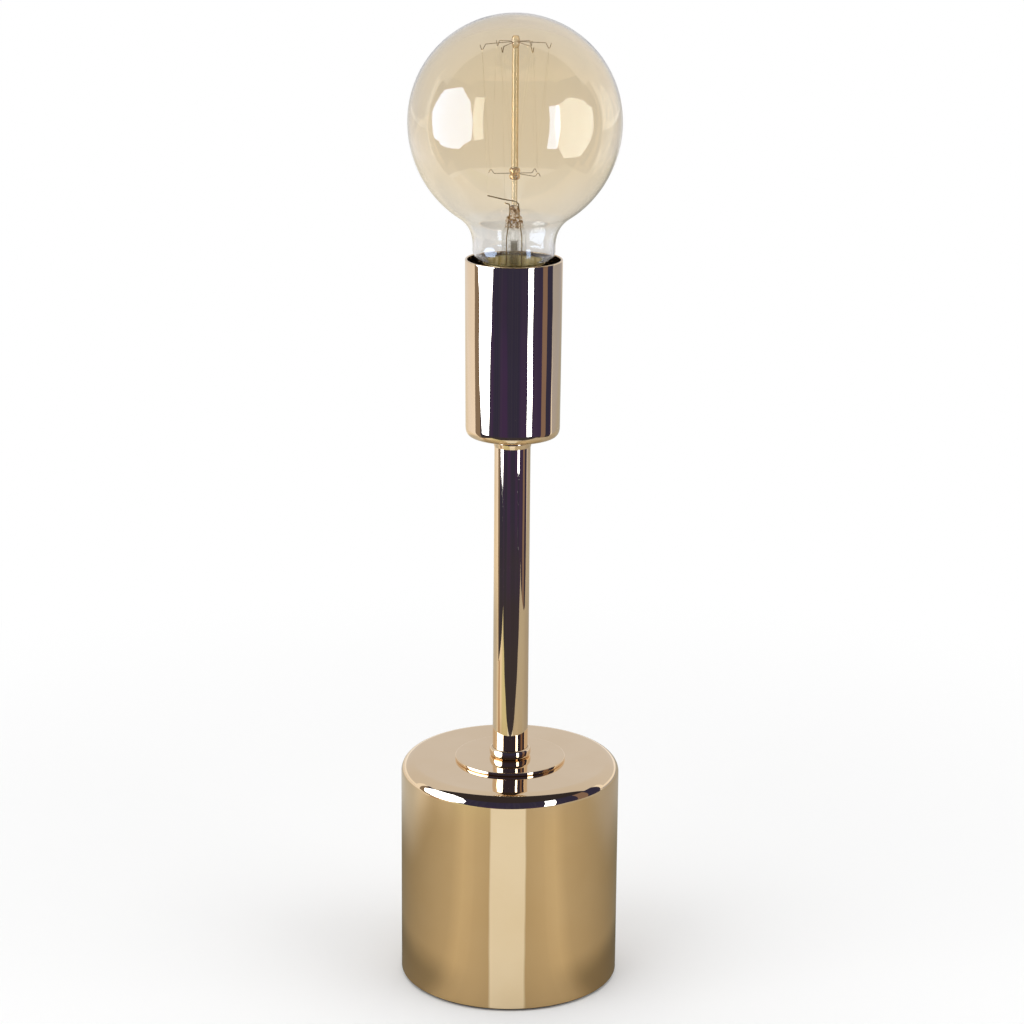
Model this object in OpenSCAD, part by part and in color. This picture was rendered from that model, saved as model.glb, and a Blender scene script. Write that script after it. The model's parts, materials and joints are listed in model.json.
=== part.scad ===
// Bare bulb table lamp: a drawn can for a base, a slim tube, a cup round the lampholder
// and a large round filament bulb. Millimetres, +Z up, origin at the centre of the underside.

/* [Base] */
// Diameter of the base can
base_d = 101.6; // [94:0.2:116]
// Height of the base can
base_h = 104.7; // [90:0.1:130]
// Sheet thickness of the base can
can_wall = 1.2; // [0.8:0.1:1.8]
// Rounding of the can's top edge
base_edge_r = 6; // [3:0.5:10]
// Rounding of the can's bottom edge
foot_edge_r = 0.9; // [0.3:0.1:1.2]
// Gap between the can and what sits in it
can_gap = 0.3; // [0.2:0.05:0.6]
// Thickness of the felt pad
felt_t = 2; // [1.4:0.1:3]
// How far the felt stands below the can
felt_proud = 0.8; // [0.4:0.1:1.2]
// Thickness of the bottom plate
plate_t = 1.3; // [1.2:0.1:2]

/* [Weight] */
// Height of the cast weight
weight_h = 32; // [24:1:45]
// Diameter of the room for the nut under the weight
nut_room_d = 27; // [24:0.5:34]
// Depth of the room for the nut and the cord
nut_room_h = 16; // [14:0.5:19]
// Width of the cord channel in the weight
channel_w = 12; // [10:0.5:16]
// Radius at which the plate screws sit
plate_screw_r = 36; // [30:0.5:42]
// Shank diameter of the plate screws
plate_screw_d = 3; // [2.5:0.1:4]
// Shank length of the plate screws below their heads
plate_screw_l = 9; // [6:0.5:14]
// Number of plate screws
plate_screw_count = 3; // [3:1:4]

/* [Cord inlet] */
// Bore of the cord grommet
inlet_d = 6.6; // [6:0.1:7.2]
// Diameter of the hole in the can
inlet_hole_d = 9.6; // [9:0.1:10.6]
// Diameter of the grommet's flanges
inlet_flange_d = 13; // [12.2:0.1:14]
// Thickness of each grommet flange
inlet_flange_t = 1.4; // [1:0.1:1.8]
// Height of the inlet above the plate
inlet_rise = 9; // [8:0.25:9.5]

/* [Stem] */
// Diameter of the flat disc on the base
disc_d = 51.2; // [40:0.2:70]
// Thickness of the disc
disc_t = 1.7; // [1.4:0.1:5]
// Diameter of the ring at the foot of the tube
foot_ring_d = 19.2; // [18.6:0.1:24]
// Height of the ring at the foot of the tube
foot_ring_h = 4.3; // [2.5:0.1:8]
// Outer diameter of the tube
stem_d = 16.4; // [15.2:0.1:16.8]
// Sheet thickness of the tube
stem_wall = 1; // [0.7:0.1:1.4]
// Length of the tube
stem_l = 153.8; // [100:0.2:260]
// Diameter of the collar under the cup
collar_d = 17.6; // [17.4:0.1:22]
// Height of the collar under the cup
collar_h = 5; // [3:0.1:10]
// Height of the bushes that centre the tube
bush_h = 7; // [4:0.5:12]

/* [Rod and fasteners] */
// Outer diameter of the hollow rod, over its thread
rod_d = 9.9; // [9:0.1:10.3]
// Bore of the hollow rod
rod_bore_d = 7; // [5.5:0.1:7.5]
// Width of the rod's nuts over the flats
nut_af = 14; // [13:0.5:16]
// Height of the rod's nuts
nut_h = 4; // [3:0.25:5]
// How far the rod passes its end nut
rod_past_nut = 1.3; // [0.5:0.1:2]
// Diameter of the washers on the weight
washer_d = 22; // [18:0.5:23.5]
// Thickness of the plain washers
washer_t = 1.5; // [1:0.1:2]
// Diameter of the wide washer under the can's top
can_washer_d = 40; // [30:1:60]
// Diameter of the toothed washers
star_d = 18.4; // [17:0.2:20]
// Thickness of the toothed washers
star_t = 0.8; // [0.6:0.1:1.2]
// Number of teeth on a toothed washer
star_teeth = 12; // [8:1:16]

/* [Cup] */
// Outer diameter of the cup at its rim
cup_rim_d = 43.8; // [43:0.1:52]
// Outer diameter of the cup at its foot
cup_foot_d = 42.8; // [42:0.1:50]
// Height of the cup
cup_h = 81; // [76:0.1:95]
// Wall of the cup
cup_wall = 1; // [0.8:0.1:1.2]
// Thickness of the cup's floor
cup_floor_t = 1.2; // [0.8:0.1:2]
// Rounding of the cup's bottom edge
cup_edge_r = 3; // [2:0.5:7]

/* [Lampholder] */
// Height of the holder's underside above the cup's floor
holder_lift = 20.8; // [16:0.1:26]
// Outer diameter of the holder
holder_d = 30.4; // [30:0.1:31]
// Height of the holder's lower half
holder_base_h = 15; // [13:0.5:18]
// Diameter of the holder's threaded neck
holder_neck_d = 17; // [15:0.5:20]
// Depth of the holder's threaded neck
holder_neck_h = 9; // [7:0.5:10]
// Height of the holder's sleeve
sleeve_h = 38; // [36:0.5:39]
// Height of the spigot that carries the contact block
spigot_h = 3; // [2:0.5:4]
// Height of the contact block
block_h = 11; // [10:0.5:12]
// Sheet thickness of the screw shell
shell_t = 0.3; // [0.25:0.05:0.4]
// Height of the screw shell
shell_h = 21.5; // [20:0.5:22.5]
// Radius of the hole in the screw shell's floor
shell_hole_r = 9.5; // [9.3:0.1:9.8]
// Distance of the contact rivet from the axis
tongue_rivet_x = 7; // [6.6:0.1:7.2]
// Thickness of the centre contact
tongue_t = 0.4; // [0.3:0.05:0.5]
// Width of the centre contact
tongue_w = 5; // [4:0.25:5.5]
// Rise of the centre contact from its foot
tongue_rise = 0.6; // [0.5:0.05:0.8]

/* [Bulb] */
// Diameter of the globe
globe_d = 95; // [80:0.5:125]
// Depth of the globe below its widest line
globe_drop = 49.6; // [44:0.2:62]
// Length of the bulb, from its tip to its top
bulb_len = 137; // [132:0.5:165]
// Thickness of the glass
glass_t = 0.8; // [0.5:0.1:1]
// Diameter of the glass neck
neck_d = 37; // [34:0.5:38]
// Length of the straight part of the neck
neck_len = 2; // [1:0.5:6]
// Height of the shoulder between cap and neck
shoulder_h = 5; // [4.5:0.25:7]
// Length of the bulb's cap, from its tip to its upper edge
cap_len = 27; // [26.5:0.25:28]
// Pitch of the cap's thread
thread_pitch = 3.629; // [3.5:0.001:3.7]
// Diameter over the cap's thread
thread_d = 26.3; // [26:0.05:26.4]
// Depth of the thread, measured on the radius
thread_depth = 1.1; // [0.9:0.05:1.2]
// Radial gap between cap and screw shell
thread_gap = 0.2; // [0.2:0.01:0.25]
// Diameter of the glass tube that holds the wires
tube_d = 11.2; // [10.4:0.1:12]
// Diameter of the thin tube through which the bulb was pumped out
exhaust_d = 4.4; // [3.8:0.1:4.8]
// Height of the pressed end of the glass tube, above the cap
press_z = 25.7; // [24:0.1:28]
// Diameter of the glass rod
glass_rod_d = 2.9; // [2.2:0.1:3.4]
// Height of the lower bead above the press
lower_bead_rise = 14; // [10:0.5:20]
// Height of the upper bead above the lower one
bead_span = 58; // [50:0.5:62]
// Reach of the upper wires
upper_reach = 16.2; // [12:0.2:20]
// Reach of the lower wires
lower_reach = 12.4; // [9:0.2:15]
// Diameter of the support wires
support_d = 0.5; // [0.35:0.05:0.6]
// Diameter of the lead wires
lead_d = 0.7; // [0.5:0.05:0.8]
// Diameter of the filament
filament_d = 0.2; // [0.15:0.05:0.3]

/* [Hidden] */
$fn = 64;

// Clearances
fit_gap = 0.05;
soft_gap = 0.3;
ring_gap = 0.1;
screw_gap = 0.1;
rod_gap = 0.25;

// Heights from the floor up
can_z = felt_proud;
can_top_z = can_z + base_h;
plate_z = felt_t;
weight_z = plate_z + plate_t;
weight_top_z = weight_z + weight_h;
nut_room_z = weight_z + nut_room_h;
inlet_z = weight_z + inlet_rise;
disc_top_z = can_top_z + disc_t;
cup_z = disc_top_z + stem_l;
cup_rim_z = cup_z + cup_h;
cup_floor_z = cup_z + cup_floor_t;
holder_z = cup_floor_z + holder_lift;
sleeve_z = holder_z + holder_base_h;
block_z = sleeve_z + spigot_h;
block_top_z = block_z + block_h;
tongue_z = block_top_z + soft_gap;
tongue_top_z = tongue_z + tongue_t + tongue_rise;
tip_z = tongue_top_z + soft_gap;
cap_top_z = tip_z + cap_len;
bulb_top_z = tip_z + bulb_len;

// Base and stem
base_r = base_d / 2;
can_in_r = base_r - can_wall;
rod_r = rod_d / 2;
rod_hole_r = rod_r + rod_gap;
rod_z = nut_room_z - washer_t - nut_h - rod_past_nut;
rod_top_z = holder_z + holder_neck_h;
can_washer_z = can_top_z - can_wall - washer_t;
can_star_z = can_washer_z - star_t;
cup_washer_z = cup_floor_z;
cup_star_z = cup_washer_z + washer_t;
nut_heights = [nut_room_z - washer_t - nut_h, weight_top_z + washer_t, can_star_z - nut_h,
               cup_star_z + star_t, holder_z - nut_h];
stem_r = stem_d / 2;
stem_in_r = stem_r - stem_wall;
disc_edge_r = 0.5;
star_tooth_l = 1.6;
star_tooth_gap = 1;
inlet_room_w = inlet_flange_d + 2;
inlet_in_y = sqrt(can_in_r * can_in_r - inlet_flange_d * inlet_flange_d / 4) - ring_gap;
inlet_out_y = base_r + ring_gap;
inlet_l = inlet_out_y - inlet_in_y + 2 * inlet_flange_t;

// Plate screws
screw_head_r = plate_screw_d / 2 + plate_t;

// Cup
cup_rim_r = cup_rim_d / 2;
cup_foot_r = cup_foot_d / 2;
cup_lip_r = 0.4 * cup_wall;

// Lampholder
major_r = thread_d / 2;
minor_r = major_r - thread_depth;
shell_major_r = major_r + thread_gap;
shell_minor_r = minor_r + thread_gap;
shell_r = shell_major_r + shell_t;
holder_r = holder_d / 2;
sleeve_in_r = shell_r + fit_gap;
block_r = sleeve_in_r - 2 * fit_gap;
spigot_in_r = block_r - 1.3;
terminal_w = 6;
terminal_l = 7;
terminal_h = 6;
terminal_screw_r = 1.5;
terminal_head_r = 2.6;
terminal_head_h = 2;
terminal_gap = 0.2;
terminal_z = block_z + 1;
shell_rivet_x = (shell_hole_r + shell_r) / 2;
terminal_x = [-tongue_rivet_x, shell_rivet_x - 2.2];
rivet_shank_r = 0.9;
rivet_head_r = 1.6;
rivet_head_h = 0.6;
grub_d = 3;
grub_z = holder_z + holder_neck_h / 2;

// Thread: rings of points a pitch apart divided by thread_steps, with thread_sides to a turn
thread_steps = 8;
thread_sides = 32;
run_out = 0.5 * thread_pitch;
cap_thread_z = [tip_z + 5.4, tip_z + 22.8];
shell_thread_z = [tip_z + 6.2, tip_z + 17];

// Bulb
globe_r = globe_d / 2;
globe_z = bulb_top_z - globe_r;
globe_end = 147.5;
neck_r = neck_d / 2;
neck_z = cap_top_z + shoulder_h;
throat_r = major_r;
tail_r = minor_r - 0.8;
tail_z = cap_top_z - 14.6;
cap_bore_r = tail_r + 0.35;
cap_edge_r = throat_r + 0.8;
insulator_z = tip_z + 1;
insulator_top_z = tip_z + 4.7;
tube_r = tube_d / 2;
exhaust_r = exhaust_d / 2;
tube_wall = 1;
exhaust_wall = 0.7;
exhaust_z = tail_z - 1;
tube_top_z = cap_top_z + 10.6;
press_top_z = cap_top_z + press_z;
press_t = 3.4;
press_tip_r = 2.8;
rod_glass_r = glass_rod_d / 2;
lower_bead_z = press_top_z + lower_bead_rise;
upper_bead_z = lower_bead_z + bead_span;
bead_half_h = 2.6;
upper_bead_r = rod_glass_r + 0.4;
lower_bead_r = rod_glass_r + 1;
wire_x = (exhaust_r + tube_r - tube_wall) / 2;

// Directions of the bent wires round the rod, in degrees
upper_angles = [196, 122, 63, 14, -61, -112];
lower_angles = [159, 92, 38, -24, -87];
// Depth of the V at the end of each wire: the upper ones hang, the lower ones stand
upper_v_h = 2.4;
lower_v_h = -1.6;
// Room between a hook and the filament's middle line
hook_gap = support_d / 2 + filament_d / 2 + 0.15;
// Free ends of the two lead wires
lead_end = [[-11.9, -5, press_top_z + 4.9], [-4.2, -3.6, press_top_z + 1.4]];

gold = [0.80, 0.65, 0.42];
brass = [0.78, 0.62, 0.32];
steel = [0.72, 0.72, 0.70];
iron = [0.25, 0.25, 0.26];
black = [0.10, 0.10, 0.10];
porcelain = [0.92, 0.90, 0.86];
amber_glass = [0.86, 0.78, 0.62, 0.35];
clear_glass = [0.90, 0.92, 0.90, 0.45];
wire_grey = [0.35, 0.30, 0.24];

// ---------- Outlines ----------

// Points on an arc about [cx, cy], from angle a0 to angle a1
function arc(cx, cy, r, a0, a1, n = 8) =
    [for (i = [0:n]) let (a = a0 + (a1 - a0) * i / n) [cx + r * cos(a), cy + r * sin(a)]];

// Points on a cubic curve from p0 to p3
function curve(p0, p1, p2, p3, n = 8) =
    [for (i = [0:n]) let (t = i / n, u = 1 - t)
        u * u * u * p0 + 3 * u * u * t * p1 + 3 * u * t * t * p2 + t * t * t * p3];

function backwards(list) = [for (i = [len(list) - 1:-1:0]) list[i]];

// Outer line of a turned ring whose two outer edges are rounded
module rounded_ring(in_r, out_r, z, h, edge_r, n = 6) {
    rotate_extrude()
        polygon(concat(
            [[in_r, z]],
            arc(out_r - edge_r, z + edge_r, edge_r, -90, 0, n),
            arc(out_r - edge_r, z + h - edge_r, edge_r, 0, 90, n),
            [[in_r, z + h]]));
}

module flat_ring(in_r, out_r, z, h) {
    translate([0, 0, z])
        difference() {
            cylinder(r = out_r, h = h);
            translate([0, 0, -1])
                cylinder(r = in_r, h = h + 2);
        }
}

// ---------- Wound and bent shapes ----------

// A closed skin over rings of points; with closed_loop the last ring joins the first
module skin(rings, closed_loop = false) {
    rows = len(rings);
    sides = len(rings[0]);
    points = [for (ring = rings) for (p = ring) p];
    last = closed_loop ? rows - 1 : rows - 2;
    walls = [for (j = [0:last]) for (k = [0:sides - 1])
        let (a = j * sides + k,
             b = j * sides + (k + 1) % sides,
             c = ((j + 1) % rows) * sides + (k + 1) % sides,
             d = ((j + 1) % rows) * sides + k)
        each [[a, d, c], [a, c, b]]];
    ends = closed_loop ? [] : concat(
        [for (k = [1:sides - 2]) [0, k, k + 1]],
        [for (k = [1:sides - 2]) let (o = (rows - 1) * sides) [o, o + k + 1, o + k]]);
    polyhedron(points = points, faces = concat(walls, ends), convexity = 10);
}

// Height of the thread above its root, from 0 to 1, at height z and angle a
function thread_wave(z, a) = (1 + cos(360 * (z - tip_z) / thread_pitch - a)) / 2;

// How much of the thread is there: 0 at both ends of its zone, 1 between its run-outs
function thread_share(z, zone) =
    let (t = min(1, max(0, min(z - zone[0], zone[1] - z) / run_out)))
    t * t * (3 - 2 * t);

// Heights of the rings of points in a threaded zone
function thread_heights(zone) =
    let (n = ceil((zone[1] - zone[0]) / (thread_pitch / thread_steps)))
    [for (i = [0:n]) zone[0] + (zone[1] - zone[0]) * i / n];

// One ring of points: radius r, plus the thread's height times depth
function thread_ring(r, z, depth = 0) =
    [for (k = [0:thread_sides - 1])
        let (a = 360 * k / thread_sides, q = r + depth * thread_wave(z, a))
        [q * cos(a), q * sin(a), z]];

// Unit vector, and a wire's direction at its point i
function unit(v) = v / norm(v);
function run_at(path, i) =
    unit(path[min(i + 1, len(path) - 1)] - path[max(i - 1, 0)]);

// A round wire along a path; across holds, for each point, a direction that the wire never takes
module wire(path, d, across, sides = 6) {
    skin([for (i = [0:len(path) - 1])
        let (run = run_at(path, i), n = unit(cross(run, across[i])), b = cross(run, n))
        [for (k = [0:sides - 1])
            let (a = 360 * k / sides)
            path[i] + d / 2 * (cos(a) * n + sin(a) * b)]]);
}

function turned(r, angle, z) = [r * cos(angle), r * sin(angle), z];
function sideways(angle) = [-sin(angle), cos(angle), 0];

// ---------- Base ----------

module felt_pad() {
    color(black)
        cylinder(r = can_in_r - can_gap, h = felt_t);
}

// One hole or one screw of the bottom plate, with gap added all round
module plate_screw_at(k, gap, shank_h) {
    rotate([0, 0, 30 + 360 * k / plate_screw_count])
        translate([plate_screw_r, 0, 0]) {
            translate([0, 0, plate_z])
                cylinder(r1 = screw_head_r + gap, r2 = plate_screw_d / 2 + gap, h = plate_t);
            translate([0, 0, weight_z - 0.01])
                cylinder(r = plate_screw_d / 2 + gap, h = shank_h + 0.01);
        }
}

module base_plate() {
    color(steel)
        difference() {
            translate([0, 0, plate_z])
                cylinder(r = can_in_r - can_gap, h = plate_t);
            for (k = [0:plate_screw_count - 1])
                plate_screw_at(k, screw_gap, 1);
        }
}

module plate_screws() {
    color(steel)
        for (k = [0:plate_screw_count - 1])
            plate_screw_at(k, 0, plate_screw_l);
}

module base_weight() {
    color(iron)
        difference() {
            translate([0, 0, weight_z])
                cylinder(r = can_in_r - can_gap, h = weight_h);
            translate([0, 0, weight_z - 1])
                cylinder(r = rod_hole_r, h = weight_h + 2);
            translate([0, 0, weight_z - 1])
                cylinder(d = nut_room_d, h = nut_room_h + 1);
            translate([-channel_w / 2, 0, weight_z - 1])
                cube([channel_w, base_r, nut_room_h + 1]);
            translate([-inlet_room_w / 2, inlet_in_y - inlet_flange_t - 2, weight_z - 1])
                cube([inlet_room_w, base_r, nut_room_h + 1]);
            for (k = [0:plate_screw_count - 1])
                plate_screw_at(k, screw_gap, plate_screw_l + 1);
        }
}

module weight_washers() {
    color(steel) {
        flat_ring(rod_hole_r, washer_d / 2, nut_room_z - washer_t, washer_t);
        flat_ring(rod_hole_r, washer_d / 2, weight_top_z, washer_t);
    }
}

module base_can() {
    edge = min(foot_edge_r, 0.9 * can_wall);
    in_edge_r = max(0.5, base_edge_r - can_wall);
    color(gold)
        difference() {
            rotate_extrude()
                polygon(concat(
                    [[rod_hole_r, can_top_z]],
                    backwards(arc(base_r - base_edge_r, can_top_z - base_edge_r, base_edge_r, 0, 90, 10)),
                    backwards(arc(base_r - edge, can_z + edge, edge, -90, 0, 4)),
                    [[can_in_r, can_z]],
                    arc(can_in_r - in_edge_r, can_top_z - can_wall - in_edge_r, in_edge_r, 0, 90, 8),
                    [[rod_hole_r, can_top_z - can_wall]]));
            translate([0, can_in_r - 4, inlet_z])
                rotate([-90, 0, 0])
                    cylinder(d = inlet_hole_d, h = 10);
        }
}

// A flanged bush: the wall of the can sits between its two flanges
module cord_grommet() {
    color(black)
        translate([0, 0, inlet_z])
            rotate([-90, 0, 0])
                difference() {
                    union() {
                        translate([0, 0, inlet_in_y - inlet_flange_t])
                            cylinder(d = inlet_flange_d, h = inlet_flange_t);
                        translate([0, 0, inlet_in_y - inlet_flange_t])
                            cylinder(d = inlet_hole_d - 2 * ring_gap, h = inlet_l);
                        translate([0, 0, inlet_out_y])
                            cylinder(d1 = inlet_flange_d, d2 = inlet_flange_d - 1.6, h = inlet_flange_t);
                    }
                    translate([0, 0, inlet_in_y - inlet_flange_t - 1])
                        cylinder(d = inlet_d, h = inlet_l + 2);
                }
}

module can_washer() {
    color(steel)
        flat_ring(rod_hole_r, can_washer_d / 2, can_washer_z, washer_t);
}

module star_washer(z) {
    difference() {
        flat_ring(rod_hole_r, star_d / 2, z, star_t);
        for (k = [0:star_teeth - 1])
            rotate([0, 0, 360 * k / star_teeth])
                translate([star_d / 2 - star_tooth_l, -star_tooth_gap / 2, z - 1])
                    cube([2 * star_tooth_l, star_tooth_gap, star_t + 2]);
    }
}

module star_washers() {
    color(steel)
        for (z = [can_star_z, cup_star_z])
            star_washer(z);
}

module rod_nuts() {
    color(brass)
        for (z = nut_heights)
            translate([0, 0, z])
                difference() {
                    cylinder(d = nut_af / cos(30), h = nut_h, $fn = 6);
                    translate([0, 0, -1])
                        cylinder(r = rod_r + fit_gap, h = nut_h + 2);
                }
}

module threaded_rod() {
    color(steel)
        flat_ring(rod_bore_d / 2, rod_r, rod_z, rod_top_z - rod_z);
}

// ---------- Stem ----------

module base_disc() {
    color(gold)
        rounded_ring(rod_hole_r, disc_d / 2, can_top_z, disc_t, disc_edge_r, 4);
}

module foot_ring() {
    color(gold)
        rounded_ring(stem_r + ring_gap, foot_ring_d / 2, disc_top_z, foot_ring_h,
                     min(0.42 * foot_ring_h, 0.9 * (foot_ring_d / 2 - stem_r - ring_gap)));
}

module stem_tube() {
    color(gold)
        flat_ring(stem_in_r, stem_r, disc_top_z, stem_l);
}

module stem_bushes() {
    color(black)
        for (z = [disc_top_z, cup_z - bush_h])
            flat_ring(rod_r + fit_gap, stem_in_r - fit_gap, z, bush_h);
}

module top_collar() {
    color(gold)
        rounded_ring(stem_r + ring_gap, collar_d / 2, cup_z - collar_h, collar_h,
                     min(0.42 * collar_h, 0.9 * (collar_d / 2 - stem_r - ring_gap)));
}

// ---------- Cup ----------

module holder_cup() {
    in_edge_r = max(0.5, cup_edge_r - cup_wall);
    color(gold)
        rotate_extrude()
            polygon(concat(
                [[rod_hole_r, cup_z]],
                arc(cup_foot_r - cup_edge_r, cup_z + cup_edge_r, cup_edge_r, -90, 0, 8),
                arc(cup_rim_r - cup_lip_r, cup_rim_z - cup_lip_r, cup_lip_r, 0, 90, 3),
                arc(cup_rim_r - cup_wall + cup_lip_r, cup_rim_z - cup_lip_r, cup_lip_r, 90, 180, 3),
                backwards(arc(cup_foot_r - cup_wall - in_edge_r, cup_floor_z + in_edge_r, in_edge_r,
                              -90, 0, 8)),
                [[rod_hole_r, cup_floor_z]]));
}

module cup_washer() {
    color(steel)
        flat_ring(rod_hole_r, washer_d / 2, cup_washer_z, washer_t);
}

// ---------- Lampholder ----------

module holder_base() {
    neck_r = holder_neck_d / 2;
    taper_z = holder_z + 3;
    room_z = holder_z + holder_neck_h;
    color(black)
        difference() {
            rotate_extrude()
                polygon([
                    [rod_r + fit_gap, holder_z],
                    [neck_r, holder_z],
                    [neck_r, taper_z],
                    [holder_r, taper_z + 5],
                    [holder_r, sleeve_z],
                    [block_r, sleeve_z],
                    [block_r, block_z],
                    [spigot_in_r, block_z],
                    [spigot_in_r, room_z + 2],
                    [spigot_in_r - 2, room_z],
                    [rod_r + fit_gap, room_z]]);
            translate([0, 0, grub_z])
                rotate([0, 90, 0])
                    cylinder(d = grub_d + 2 * screw_gap, h = holder_r + 1);
        }
}

module holder_grub_screw() {
    color(steel)
        translate([rod_r + fit_gap, 0, grub_z])
            rotate([0, 90, 0])
                cylinder(d = grub_d, h = holder_neck_d / 2 - rod_r);
}

module contact_block() {
    color(porcelain)
        difference() {
            translate([0, 0, block_z])
                cylinder(r = block_r, h = block_h);
            for (x = terminal_x)
                translate([x - terminal_w / 2 - terminal_gap, -terminal_l / 2 - terminal_gap, block_z - 1])
                    cube([terminal_w + 2 * terminal_gap, terminal_l + 2 * terminal_gap,
                          terminal_z + terminal_h - block_z + 1.1]);
            for (x = [-tongue_rivet_x, shell_rivet_x])
                translate([x, 0, block_z - 1])
                    cylinder(r = rivet_shank_r + fit_gap, h = block_h + 2);
        }
}

module terminals() {
    color(brass)
        for (x = terminal_x)
            difference() {
                translate([x - terminal_w / 2, -terminal_l / 2, terminal_z])
                    cube([terminal_w, terminal_l, terminal_h]);
                translate([x, 0, terminal_z - 1])
                    cylinder(r = terminal_screw_r + fit_gap, h = terminal_h - 1);
            }
}

module terminal_screws() {
    color(steel)
        for (x = terminal_x)
            translate([x, 0, terminal_z]) {
                translate([0, 0, -terminal_head_h - terminal_gap])
                    cylinder(r = terminal_head_r, h = terminal_head_h);
                translate([0, 0, -terminal_gap - 0.1])
                    cylinder(r = terminal_screw_r, h = terminal_h - 2);
            }
}

// The left rivet holds the centre contact, the right one the screw shell
module contact_rivets() {
    foot_z = terminal_z + terminal_h + 0.1;
    head_z = [tongue_z + tongue_t + soft_gap, block_top_z + shell_t + 0.1];
    x = [-tongue_rivet_x, shell_rivet_x];
    color(brass)
        for (i = [0, 1])
            translate([x[i], 0, 0]) {
                translate([0, 0, foot_z])
                    cylinder(r = rivet_shank_r, h = head_z[i] - foot_z + 0.01);
                translate([0, 0, head_z[i]])
                    cylinder(r = rivet_head_r, h = rivet_head_h);
            }
}

// The shell's thread follows the cap's, thread_gap further out, and fades into the wide wall
module screw_shell() {
    top_z = block_top_z + shell_h;
    color(brass)
        difference() {
            skin(concat(
                [thread_ring(shell_hole_r, block_top_z),
                 thread_ring(shell_r, block_top_z),
                 thread_ring(shell_r, top_z),
                 thread_ring(shell_major_r, top_z)],
                [for (z = backwards(thread_heights(shell_thread_z)))
                    let (share = thread_share(z, shell_thread_z))
                    thread_ring(shell_minor_r + thread_depth * (1 - share), z, thread_depth * share)],
                [thread_ring(shell_major_r, block_top_z + shell_t),
                 thread_ring(shell_hole_r, block_top_z + shell_t)]), closed_loop = true);
            translate([shell_rivet_x, 0, block_top_z - 1])
                cylinder(r = rivet_shank_r + fit_gap, h = 2, $fn = 12);
        }
}

module holder_sleeve() {
    top_z = sleeve_z + sleeve_h;
    color(black)
        rotate_extrude()
            polygon(concat(
                [[sleeve_in_r, sleeve_z], [holder_r, sleeve_z]],
                arc(holder_r - 0.5, top_z - 0.5, 0.5, 0, 90, 3),
                [[sleeve_in_r, top_z]]));
}

// A leaf spring: its foot lies under the rivet's head and its nose under the bulb's tip
module centre_contact() {
    foot_x = -tongue_rivet_x - 1.7;
    bend_x = -tongue_rivet_x + 2;
    nose_x = -1.8;
    end_x = 2.4;
    low = tongue_z;
    high = tongue_z + tongue_rise;
    color(brass)
        difference() {
            translate([0, tongue_w / 2, 0])
                rotate([90, 0, 0])
                    linear_extrude(tongue_w)
                        polygon([[foot_x, low], [bend_x, low], [nose_x, high], [end_x, high],
                                 [end_x, high + tongue_t], [nose_x, high + tongue_t],
                                 [bend_x, low + tongue_t], [foot_x, low + tongue_t]]);
            translate([-tongue_rivet_x, 0, tongue_z - 1])
                cylinder(r = rivet_shank_r + soft_gap, h = 3);
        }
}

// ---------- Bulb ----------

module tip_contact() {
    base_z = insulator_z - fit_gap;
    color(steel)
        rotate_extrude()
            polygon([[0, tip_z], [0.8, tip_z], [2.2, tip_z + 0.15], [3.2, tip_z + 0.5], [3.4, base_z],
                     [0, base_z]]);
}

module cap_insulator() {
    color(black)
        rotate_extrude()
            polygon([[1.2, insulator_z], [4.6, insulator_z], [cap_bore_r - 1.7, insulator_top_z - 0.4],
                     [cap_bore_r - 1.7, insulator_top_z + 0.7], [cap_bore_r - 0.8, insulator_top_z + 1.4],
                     [1.2, insulator_top_z + 1.4]]);
}

// Threaded outside, plain inside, with its upper edge flared round the glass
module bulb_cap() {
    color(brass)
        skin(concat(
            [thread_ring(cap_bore_r - 1.4, insulator_top_z - 0.2),
             thread_ring(minor_r - 0.9, insulator_top_z - 0.2)],
            [for (z = thread_heights(cap_thread_z))
                thread_ring(minor_r, z, thread_depth * thread_share(z, cap_thread_z))],
            [thread_ring(minor_r + 0.3, cap_thread_z[1] + 0.5),
             thread_ring(cap_edge_r - 0.3, cap_top_z - 2.8),
             thread_ring(cap_edge_r, cap_top_z),
             thread_ring(throat_r + 0.35, cap_top_z),
             thread_ring(throat_r + 0.1, cap_top_z - 2.6),
             thread_ring(cap_bore_r, cap_thread_z[1] - 0.6),
             thread_ring(cap_bore_r, insulator_top_z + 1.9),
             thread_ring(cap_bore_r - 1.4, insulator_top_z + 0.4)]), closed_loop = true);
}

// A point on the globe, a degrees down from its top, inset by t
function globe_point(a, t) =
    [(globe_r - t) * sin(a), globe_z + (a <= 90 ? globe_r - t : globe_drop - t) * cos(a)];

// The bulb's line from its top to its tail, inset by t
function glass_line(t) =
    let (start = globe_point(globe_end, t),
         run = unit([(globe_r - t) * cos(globe_end), -(globe_drop - t) * sin(globe_end)]),
         neck_top = [neck_r - t, neck_z + neck_len],
         corner = start + run * (neck_r - t - start[0]) / run[0],
         neck_low = [neck_r - t, neck_z],
         throat = [throat_r - t, cap_top_z + 0.2])
    concat(
        [for (i = [0:19]) globe_point(globe_end * i / 20, t)],
        curve(start, start + 0.7 * (corner - start), neck_top + 0.7 * (corner - neck_top), neck_top, 10),
        curve(neck_low, neck_low - [0, 0.55 * shoulder_h], throat + [2.4, 1.4], throat, 6),
        [[throat_r - t - 0.2, cap_top_z - 2.4], [tail_r - t, cap_thread_z[1] - 0.4], [tail_r - t, tail_z]]);

module bulb_glass() {
    color(amber_glass)
        rotate_extrude()
            polygon(concat(glass_line(0), backwards(glass_line(glass_t))));
}

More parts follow.
